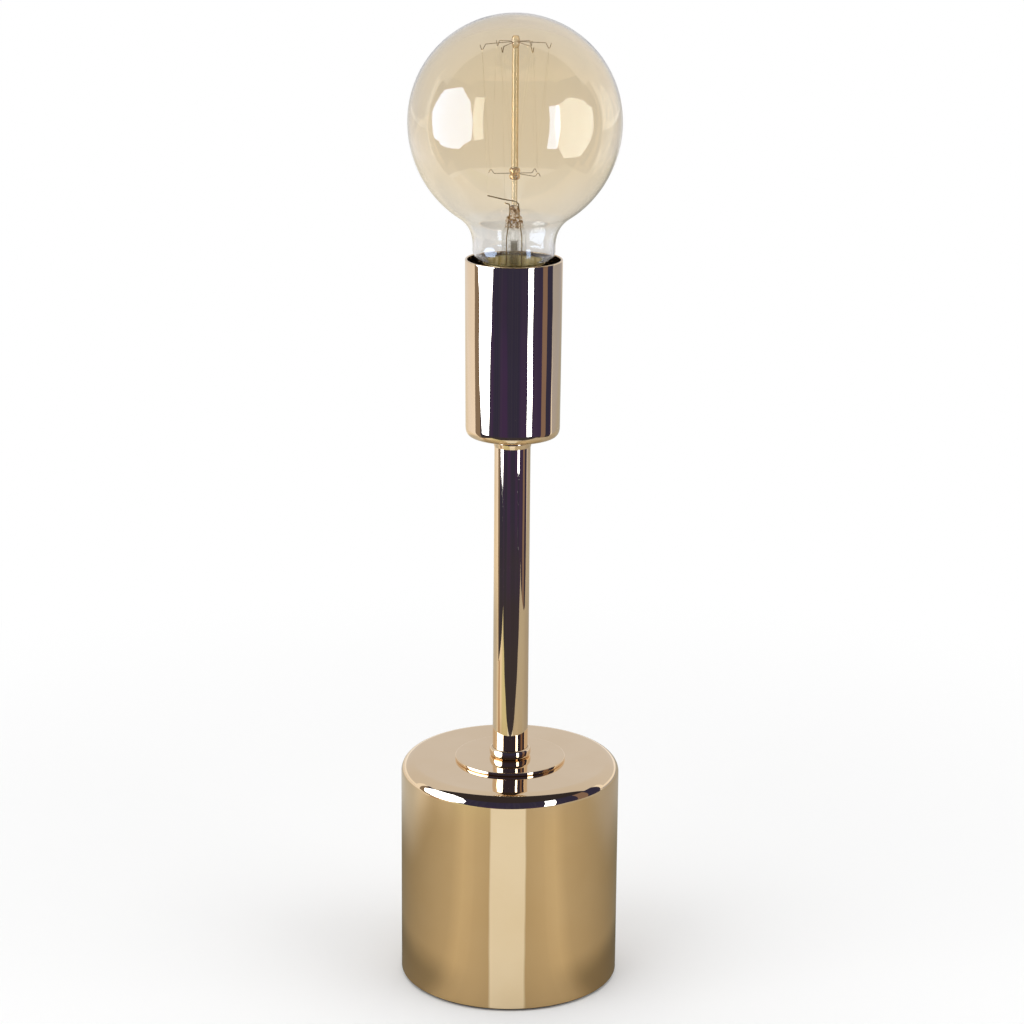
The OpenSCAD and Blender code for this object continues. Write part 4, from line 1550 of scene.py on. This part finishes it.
    def pressed_stem(self) -> bpy.types.Object:
        """The flared tube whose upper end is pinched flat round the wires, with lumps of melted glass.

        Returns:
            The tube.
        """
        (flare, foot, top), tube = self.stem.span, self.tube_r
        bore, roof, lumps = tube - MM, self.cap.top + self.tube_top, top - 9 * MM
        outer = [
            *cubic(*beside((flare, foot), (0, 0.8), (-0.5, 4)), *beside((tube, foot), (0, 4.5), (0, 8)), 14),
            *smooth([*beside((tube, foot), (0, 9)),
                     *beside((tube, lumps), (0, -5), (-0.1, -2.6), (-0.7, -0.8)),
                     *beside((0.0, lumps), *self.knots)], 8),
        ]
        falls = ((0.0, 0.0), (0.45, 0.2), (0.85, 1.4), (1, 3.2), (1, 6))
        dome = [(bore * share, roof - drop * MM) for share, drop in falls]
        inner = [
            *smooth(dome, 6),
            *cubic(*beside((bore, foot), (0, 8), (0, 4)), *beside((flare, foot), (-1.5, 3.2), (-1, 0)), 14),
        ]
        pinch = [(lumps + rise * MM, share) for rise, share in ((-5, 1.0), (1, 0.5), (4, 0.62), (7, 0.9))]

        def depth(r: float, z: float) -> float:
            """Half-depth of the tube, which is pinched towards its top."""
            if z <= pinch[0][0] or r < tube - 0.9 * MM and z < lumps - MM:
                return r
            for (low, first), (high, last) in zip(pinch, pinch[1:]):
                if z <= high:
                    return r * (first + (last - first) * eased((z - low) / (high - low)))
            return r * pinch[-1][1]

        shape = turned("inner_tube", [(flare, foot), *outer, *inner], 96, depth=depth, sharp=75)
        return Melt().grow(shape, self.fitter.finish("glass_stem"), start_height=lumps, fade=1.5 * MM,
                           lump_size=1.5 * MM, lump_depth=1.1 * MM)

    def pump_tube(self) -> bpy.types.Object:
        """The thin tube through which the bulb was pumped out, sealed inside the cap.

        Returns:
            The tube.
        """
        (r, z0, z1), edge = self.pump.span, self.pump_edge
        in_r = r - self.pump_wall
        outline = [*rounded(Corner.OUTER_FOOT, r, z0, edge, 4), (r, z1), (in_r, z1),
                   *rounded(Corner.INNER_FOOT, in_r, z0, edge, 4)]
        return turned("pump_tube", guarded(outline), 48, sharp=75)

    def inner_rod(self) -> bpy.types.Object:
        """The glass rod, thinner below its lower bead.

        Returns:
            The rod.
        """
        (r, z0, z1), bead = self.rod.span, self.low_bead
        thin = r - 0.2 * MM
        outline = [(0.0, z0), (thin, z0), (thin, bead.bottom), (r, bead.middle), (r, z1), (0.0, z1)]
        return turned("inner_rod", guarded(outline), 48, sharp=75)

    def lobed_bead(self, name: str, space: Room, in_r: float, lobes: int) -> bpy.types.Object:
        """A bead of melted glass with one or two swellings.

        Args:
            name: the new object's name.
            space: the room that it fills.
            in_r: radius of its bore.
            lobes: how many swellings it has.

        Returns:
            The bead.
        """
        (r, z0, z1), steps = space.span, 10 * lobes + 6
        waist = max(in_r + 0.25 * MM, 0.62 * r)
        swells = [abs(math.sin(math.pi * lobes * i / steps)) ** 0.6 for i in range(steps + 1)]
        side = [(waist + (r - waist) * swell, z0 + (z1 - z0) * i / steps) for i, swell in enumerate(swells)]
        return turned(name, [(in_r, z0), *side, (in_r, z1)], 48, sharp=75)

    @staticmethod
    def spun(r: float, turn: float, z: float) -> Vector:
        """The point at radius r and height z, at an angle of turn degrees."""
        return Vector((r * math.cos(math.radians(turn)), r * math.sin(math.radians(turn)), z))

    def supports(self, wire: Wire, name: str, node: str, hooks: Hooks) -> bpy.types.Object:
        """Wires that spread from a bead, each with a V at its end.

        Args:
            wire: the tree that sweeps them.
            name: the new object's name.
            node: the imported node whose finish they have.
            hooks: their row.

        Returns:
            The new object.
        """
        reach, sag, dip = hooks.reach, hooks.sag, hooks.sag + hooks.dip
        bends = ((hooks.start, 0.0), (reach - 2.6 * MM, -sag), (reach - 1.3 * MM, -dip),
                 (reach - 0.8 * MM, -dip), (reach, -sag - 0.1 * hooks.dip))
        z0 = hooks.bead.middle
        chain = chains(name, [[self.spun(r, turn, z0 + z) for r, z in bends] for turn in hooks.turns])
        return wire.grow(chain, self.fitter.finish(node), wire_radius=self.support_r, bend_radius=0.5 * MM)

    def lead_ends(self) -> list[Place]:
        """Free ends of the two lead wires."""
        return beside((0.0, 0.0, self.stem.top), (-11.9, -5, 4.9), (-4.2, -3.6, 1.4))

    def leads(self, wire: Wire) -> bpy.types.Object:
        """Two wires that pass the press: one from the cap's edge, one from its tip.

        Args:
            wire: the tree that sweeps them.

        Returns:
            The two wires, as one object.
        """
        heights = (self.stem.top, self.cap.top + self.tube_top, self.stem.bottom)
        press, roof, tail = ((0.0, 0.0, z) for z in heights)
        side = (self.pump.radius + self.tube_r - MM) / 2 / MM
        to_cap = [
            *beside((self.cap_bore, 0.0, tail[2]), (-0.5, 0, -2.4)),
            *beside(tail, (7, 0, -2.6), (side, 0, 2)),
            *beside(roof, (side, 0, 1)),
            *beside(press, (2, 0, -3), (1.9, -0.6, 0.5), (0.6, -2.4, 1.9), (-5.6, -3.6, 3.2)),
        ]
        to_tip = [
            *beside((0.0, 0.0, self.tip.bottom), (0, 0, 1.6), (0, 0, 5.9)),
            *beside((0.0, 0.0, self.pump.bottom), (-side, 0, -1.5)),
            *beside(roof, (-side, 0, 1)),
            *beside(press, (-2, 0, -3), (-2.1, -0.6, 0.3)),
        ]
        chain = chains("leads", [[*path, end] for path, end in zip((to_cap, to_tip), self.lead_ends())])
        finish = self.fitter.finish("lead_wires")
        return wire.grow(chain, finish, wire_radius=self.lead_r, bend_radius=1.2 * MM)

    def hook_pass(self, hooks: Hooks, i: int) -> list[Vector]:
        """Let the strand pass inside one hook, from side to side.

        Args:
            hooks: the hook's row.
            i: its number in the row.

        Returns:
            The two points that the strand goes through.
        """
        gap = self.support_r + self.strand_r + 0.15 * MM
        z = hooks.bead.middle - hooks.sag - hooks.dip + math.copysign(gap, hooks.dip)
        middle = self.spun(hooks.reach - 1.05 * MM, hooks.turns[i], z)
        side = self.spun(gap + 0.15 * MM, hooks.turns[i] + 90, 0.0)
        return [middle + side, middle - side]

    def strand(self, wire: Wire, upper: Hooks, lower: Hooks) -> bpy.types.Object:
        """The filament: one strand, up and down between the hooks.

        Args:
            wire: the tree that sweeps it.
            upper: the upper row of hooks.
            lower: the lower row.

        Returns:
            The strand.
        """
        above = Vector((0, 0, self.lead_r + self.strand_r + 0.1 * MM))
        first, last = (Vector(end) + above for end in self.lead_ends())
        path = [first, *self.hook_pass(upper, 0)]
        for i in range(len(lower.turns)):
            path += [*self.hook_pass(lower, i), *self.hook_pass(upper, i + 1)]
        chain = chains("strand", [[*path, last]])
        finish = self.fitter.finish("filament")
        return wire.grow(chain, finish, wire_radius=self.strand_r, bend_radius=0.3 * MM)


# ---------- Studio ----------


def around(bearing: float, distance: float, z: float) -> Place:
    """The place at a bearing from the camera's side, positive to the right, and a distance from the axis."""
    a = math.radians(bearing)
    return distance * math.sin(a), -distance * math.cos(a), z


def level(wide: float, near: float, far: float, z: float) -> list[Place]:
    """Corners of a level rectangle."""
    return [(-wide, near, z), (wide, near, z), (wide, far, z), (-wide, far, z)]


@dataclass(frozen=True)
class Curtain:
    """A curved card that stands round the lamp between two bearings and two heights."""

    name: str
    glow: Colour
    distance: float
    bearings: Point
    heights: Point
    mirrored: bool = True
    strip: float = 6.0

    def corners(self) -> list[Place]:
        """Corners from left to right below, and back above.

        Returns:
            The corners.
        """
        low, high = self.bearings
        steps = max(2, int((high - low) / self.strip))
        turns = [low + (high - low) * i / steps for i in range(steps + 1)]
        below, above = ([around(turn, self.distance, z) for turn in turns] for z in self.heights)
        return [*below, *reversed(above)]


@dataclass
class Studio:
    """Camera, table, lamps, and the cards that a polished lamp mirrors."""

    camera_place: Place = (0.0, -1.28599, 0.58469)
    camera_tilt: float = 15.637
    camera_roll: float = 0.454
    focal_px: float = 2923.46
    image_px: float = 1024.0
    sensor: float = 36.0
    floor_white: float = 0.90
    floor_through: float = 0.18
    floor_wide: float = 30.0
    sky_light: float = 0.72
    step: float = 0.2 * MM
    table_edge: tuple[Point, ...] = (
        (-0.467, -0.337), (0.575, -0.337), (0.575, 0.09), (0.85, 0.33), (1.65, 0.43), (3.0, 0.70),
        (3.0, 7.0), (-3.0, 7.0), (-3.0, 1.02), (-0.467, 0.0),
    )
    brown_edge: tuple[Point, ...] = ((-73, 0.31), (-87, 0.31), (-86, 0.47), (-75, 0.47))
    box_glow: Colour = (4.4, 5.5, 7.6)
    box_distance: float = 2.0
    light_box: tuple[Point, ...] = (
        (-62.5, -0.31), (-80, -0.26), (-86, -0.20), (-89, -0.14), (-88, -0.10), (-96, -0.02),
        (-99.5, 0.60), (-93, 1.29),
        (-70.3, 1.72), (-52.5, 1.29), (-45, 0.62), (-46.5, 0.0), (-56.5, -0.16), (-60, -0.25))
    strip_box: tuple[Point, ...] = ((34.5, -0.29), (46.5, -0.29), (50.5, 1.2), (38, 1.2))
    curtains: tuple[Curtain, ...] = (
        Curtain("stand_right", (0.26, 0.19, 0.17), 2.2, (73, 87), (-0.8, 1.4)),
        Curtain("stand_left", (0.27, 0.225, 0.19), 2.3, (-105, -86), (-0.9, 1.2)),
        Curtain("wall_behind", (0.70, 0.705, 0.735), 1.7, (112, 248), (0.32, 1.76), mirrored=False),
    )
    dark_room: Curtain = Curtain("dark_room", (0.036, 0.037, 0.094), 2.6, (-105, 106), (-1.6, 2.4))
    ceiling: Colour = (0.037, 0.034, 0.043)
    canopy: Colour = (0.70, 0.705, 0.735)
    roof: Point = (2.8, 1.76)
    lights: tuple[tuple[str, Place, float, float], ...] = (
        ("key", (-1.2, -0.9, 1.5), 1.6, 11.0),
        ("fill", (1.3, -0.6, 1.4), 1.4, 8.0),
        ("top", (0.0, 0.3, 2.1), 1.8, 7.0),
    )
    lit: Place = (0.0, 0.0, 0.15)

    def build(self) -> None:
        """Set up everything that isn't the lamp."""
        self.camera()
        self.world()
        self.floor()
        self.table()
        self.lamps()
        for curtain in self.curtains:
            self.reflected(self.card(curtain.name, curtain.corners(), self.glowing(curtain), fan=False))
        unlit = self.paint("dark_room", "ShaderNodeEmission", self.unlit_room)
        self.reflected(self.card("dark_room", self.dark_room.corners(), unlit, fan=False))
        for name, outline in (("octagon_box", self.light_box), ("strip_box", self.strip_box)):
            corners = [around(bearing, self.box_distance, z) for bearing, z in outline]
            self.reflected(self.card(name, corners, self.glow(name, self.box_glow)))
        wide, high = self.roof
        ceiling, canopy = self.glow("ceiling", self.ceiling), self.glow("canopy", self.canopy, mirrored=False)
        self.reflected(self.card("ceiling", level(wide, -2.8, 0.12, high), ceiling))
        self.reflected(self.card("canopy", level(wide, 0.12, 1.9, high), canopy))
        bpy.context.scene.view_settings.view_transform = "Standard"

    def camera(self) -> None:
        """The photograph's camera."""
        data = bpy.data.cameras.new("camera")
        data.sensor_width = self.sensor
        data.lens = self.focal_px / self.image_px * self.sensor
        made = bpy.data.objects.new("camera", data)
        tilt = turning(90 - self.camera_tilt, "X", self.camera_place)
        made.matrix_world = tilt @ turning(self.camera_roll, "Z")
        bpy.context.scene.collection.objects.link(made)
        bpy.context.scene.camera = made

    def world(self) -> None:
        """A white surround to the eye, to metal and to glass, that lights the rest more softly."""
        made = bpy.data.worlds.new("surround")
        made.use_nodes = True
        board = Board(made.node_tree)
        rays = board.node("ShaderNodeLightPath")
        kinds = ("Is Camera Ray", "Is Glossy Ray", "Is Transmission Ray")
        seen = sum(board.read(rays, kind) for kind in kinds).clamped()
        strength = self.sky_light + seen * (1.0 - self.sky_light)
        sky = board.node("ShaderNodeBackground", {"Color": WHITE, "Strength": strength})
        board.node("ShaderNodeOutputWorld", {"Surface": sky})
        bpy.context.scene.world = made

    @staticmethod
    def paint(
        name: str, kind: str, colour: Callable[[Surface], object], mirrored: bool = True
    ) -> bpy.types.Material:
        """A card's material of one shader.

        Args:
            name: its name.
            kind: the shader's node type.
            colour: gives the shader's colour on the material's tree.
            mirrored: whether the card is clear to rays that no surface has mirrored, so that glass
                doesn't show it from behind.

        Returns:
            The material.
        """

        def build(surface: Surface) -> bpy.types.Node:
            """The shader, mixed with a clear one where it is only mirrored."""
            shader = surface.node(kind, {"Color": colour(surface)})
            if not mirrored:
                return shader
            depth = surface.read(surface.node("ShaderNodeLightPath"), "Glossy Depth").clamped()
            return surface.mixed(depth, surface.node("ShaderNodeBsdfTransparent"), shader)

        return painted(name, build)

    def glow(self, name: str, colour: Colour, mirrored: bool = True) -> bpy.types.Material:
        """The material of a card with one plain glow."""
        return self.paint(name, "ShaderNodeEmission", lambda surface: (*colour, 1.0), mirrored)

    def glowing(self, curtain: Curtain) -> bpy.types.Material:
        """The material of a curtain."""
        return self.glow(curtain.name, curtain.glow, curtain.mirrored)

    @staticmethod
    def card(
        name: str, corners: Sequence[Place], paint: bpy.types.Material, fan: bool = True
    ) -> bpy.types.Object:
        """Add one card to the stage.

        Args:
            name: its name.
            corners: its corners in order.
            paint: its material.
            fan: whether its faces spread from its middle; otherwise they are upright strips.

        Returns:
            The card.
        """
        count = len(corners)
        faces = [(i, i + 1, count - 2 - i, count - 1 - i) for i in range(count // 2 - 1)]
        if fan:
            corners = [*corners, tuple(sum(c) / count for c in zip(*corners))]
            faces = [(i, (i + 1) % count, count) for i in range(count)]
        mesh = bpy.data.meshes.new(name)
        mesh.from_pydata(corners, [], faces)
        mesh.materials.append(paint)
        made = new_object(name, mesh)
        return made

    @staticmethod
    def reflected(card: bpy.types.Object, through: bool = True) -> None:
        """Let only reflections see a card, and glass unless through is false."""
        card.visible_camera = card.visible_diffuse = False
        card.visible_shadow = card.visible_volume_scatter = False
        card.visible_transmission = through

    def unlit_room(self, surface: Surface) -> Signal:
        """The unlit room: dark blue with faint upright streaks, purple patches and a brown floor.

        Args:
            surface: the material's tree.

        Returns:
            Its colour.
        """
        streaks = surface.noise(0.16, 2.0, (1.0, 1.0, 40.0)).rise(0.45, 0.75)
        purple = surface.noise(0.9, 0.0).rise(0.45, 0.6) * surface.z.rise(-0.1, -0.4)
        painted_shade = surface.blend(purple, self.dark_room.glow, (0.056, 0.037, 0.130))
        painted_shade = surface.blend(surface.z.rise(-0.38, -0.78), painted_shade, (0.052, 0.048, 0.060))
        return surface.blend(streaks * 0.45, painted_shade, (0.062, 0.066, 0.112))

    def floor(self) -> None:
        """A pale floor, a step below the table, that takes the lamp's shadow."""
        wide = self.floor_wide
        paint = painted("floor", self.floor_shader)
        self.card("floor", level(wide, -wide, wide, -self.step), paint).visible_glossy = False

    def floor_shader(self, surface: Surface) -> bpy.types.Node:
        """Matt near the lamp, plain white further away, and clear to what is mirrored through glass.

        Args:
            surface: the material's tree.

        Returns:
            The last shader.
        """
        white = surface.node("ShaderNodeEmission", {"Color": WHITE})
        matt = surface.node("ShaderNodeBsdfDiffuse", {"Color": (*[self.floor_white] * 3, 1.0)})
        rays = surface.node("ShaderNodeLightPath")
        through = surface.read(rays, "Is Transmission Ray")
        eye = surface.read(rays, "Is Camera Ray") + through * self.floor_through
        share = surface.radius().rise(0.22, 0.62) * eye
        mirrored = surface.read(rays, "Glossy Depth").clamped() * through
        clear = surface.node("ShaderNodeBsdfTransparent")
        return surface.mixed(mirrored, surface.mixed(share, matt, white), clear)

    def table(self) -> None:
        """The table as polished metal mirrors it: grey near the lamp with painted shade and a painted shadow,
        and a painted pool of light as a white strip in front.
        """
        matt = "ShaderNodeBsdfDiffuse"
        top = self.paint("table", matt, self.table_painted_light_and_shade)
        self.reflected(self.card("table", [(x, y, 0.0) for x, y in self.table_edge], top))
        brown = self.paint("brown_edge", matt, lambda surface: (0.46, 0.32, 0.22, 1.0), mirrored=False)
        corners = [around(bearing, distance, self.step) for bearing, distance in self.brown_edge]
        self.reflected(self.card("brown_edge", corners, brown), through=False)

    @staticmethod
    def table_painted_light_and_shade(surface: Surface) -> Signal:
        """Painted light and shade of the table, by bearing and distance from the lamp's axis.

        Args:
            surface: the material's tree.

        Returns:
            Its colour.
        """
        x, y, radius = surface.x, surface.y, surface.radius()
        bearing = x.maths("ARCTAN2", y * -1.0) * (180 / math.pi)
        side = bearing.maths("ABSOLUTE")
        # Near the lamp: painted shade, paler by bearing up to a ridge, and a painted shadow of the lamp
        painted_light_ridge = 1.0 - (side - 44.0).maths("ABSOLUTE") / 12.0
        falling, rising = side * -0.00475 + 1.075, side * 0.0055 + 0.72
        painted_shade = falling.maths("MINIMUM", rising) + painted_light_ridge.clamped() * 0.12 + side.rise(142, 172) * 0.4
        painted_shadow = radius.rise(0.10, 0.066) * side.rise(22, 64) * 0.42
        near = surface.blend(painted_shade * (1.0 - painted_shadow), (0.0, 0.0, 0.0), (0.585, 0.51, 0.355))
        # Further away: painted light and shade, one colour for each side
        far = surface.blend(bearing.rise(-50, -68), (0.63, 0.64, 0.42), (0.84, 0.78, 0.66))
        far = surface.blend(x.rise(-0.5, -0.9), far, (0.96, 0.95, 0.98))
        far = surface.blend(bearing.rise(-15, 15) * y.rise(2.5, 2.0), far, (0.47, 0.455, 0.40))
        far = surface.blend(x.rise(0.6, 1.0), far, (0.455, 0.47, 0.55))
        beside_lamp = surface.blend(x.rise(-0.12, 0.12), (0.54, 0.54, 0.51), (0.41, 0.39, 0.35))
        far = surface.blend(side.rise(75, 120) * radius.rise(0.7, 0.5), far, beside_lamp)
        far = surface.blend(y.rise(1.2, 2.0) * side.rise(140, 160), far, (0.985, 0.965, 0.935))
        reach = radius * (side.rise(75, 120) * 0.55 + 1.0)
        whole = surface.blend(reach.rise(0.25, 0.42), near, far)
        # A painted pool of light: a white strip that widens from the front of the base
        ahead = y * -1.0 - 0.0508
        soft = ahead * 0.035 + 0.0016
        left, right = x + ahead * 0.37 + 0.0091, ahead * 0.306 + 0.0077 - x
        strip = (left / soft + 0.5).clamped() * (right / soft + 0.5).clamped() * ahead.rise(-0.001, 0.0)
        return surface.blend(strip, whole, (0.78, 0.80, 0.755))

    def lamps(self) -> None:
        """Soft area lamps for the floor and its shadow; the cards make the reflections."""
        for name, place, size, power in self.lights:
            data = bpy.data.lights.new(name, "AREA")
            data.size, data.energy = size, power
            made = bpy.data.objects.new(name, data)
            made.location = place
            made.rotation_euler = (Vector(self.lit) - Vector(place)).to_track_quat("-Z", "Y").to_euler()
            made.visible_glossy = made.visible_transmission = False
            bpy.context.scene.collection.objects.link(made)


# ---------- The whole ----------


def main() -> None:
    """Build the studio, then dress and replace the nodes group by group."""
    logging.basicConfig(level=logging.INFO, format="%(name)s: %(message)s")
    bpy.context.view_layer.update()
    Studio().build()
    fitter = Fitter(frame["record"])
    for name, node in frame["nodes"].items():
        fitter.dress(node, name)
    for group in (Base, Stem, Cup, Bulb):
        for piece in group(fitter).pieces():
            fitter.fit(piece)


if __name__ == "__main__":
    main()
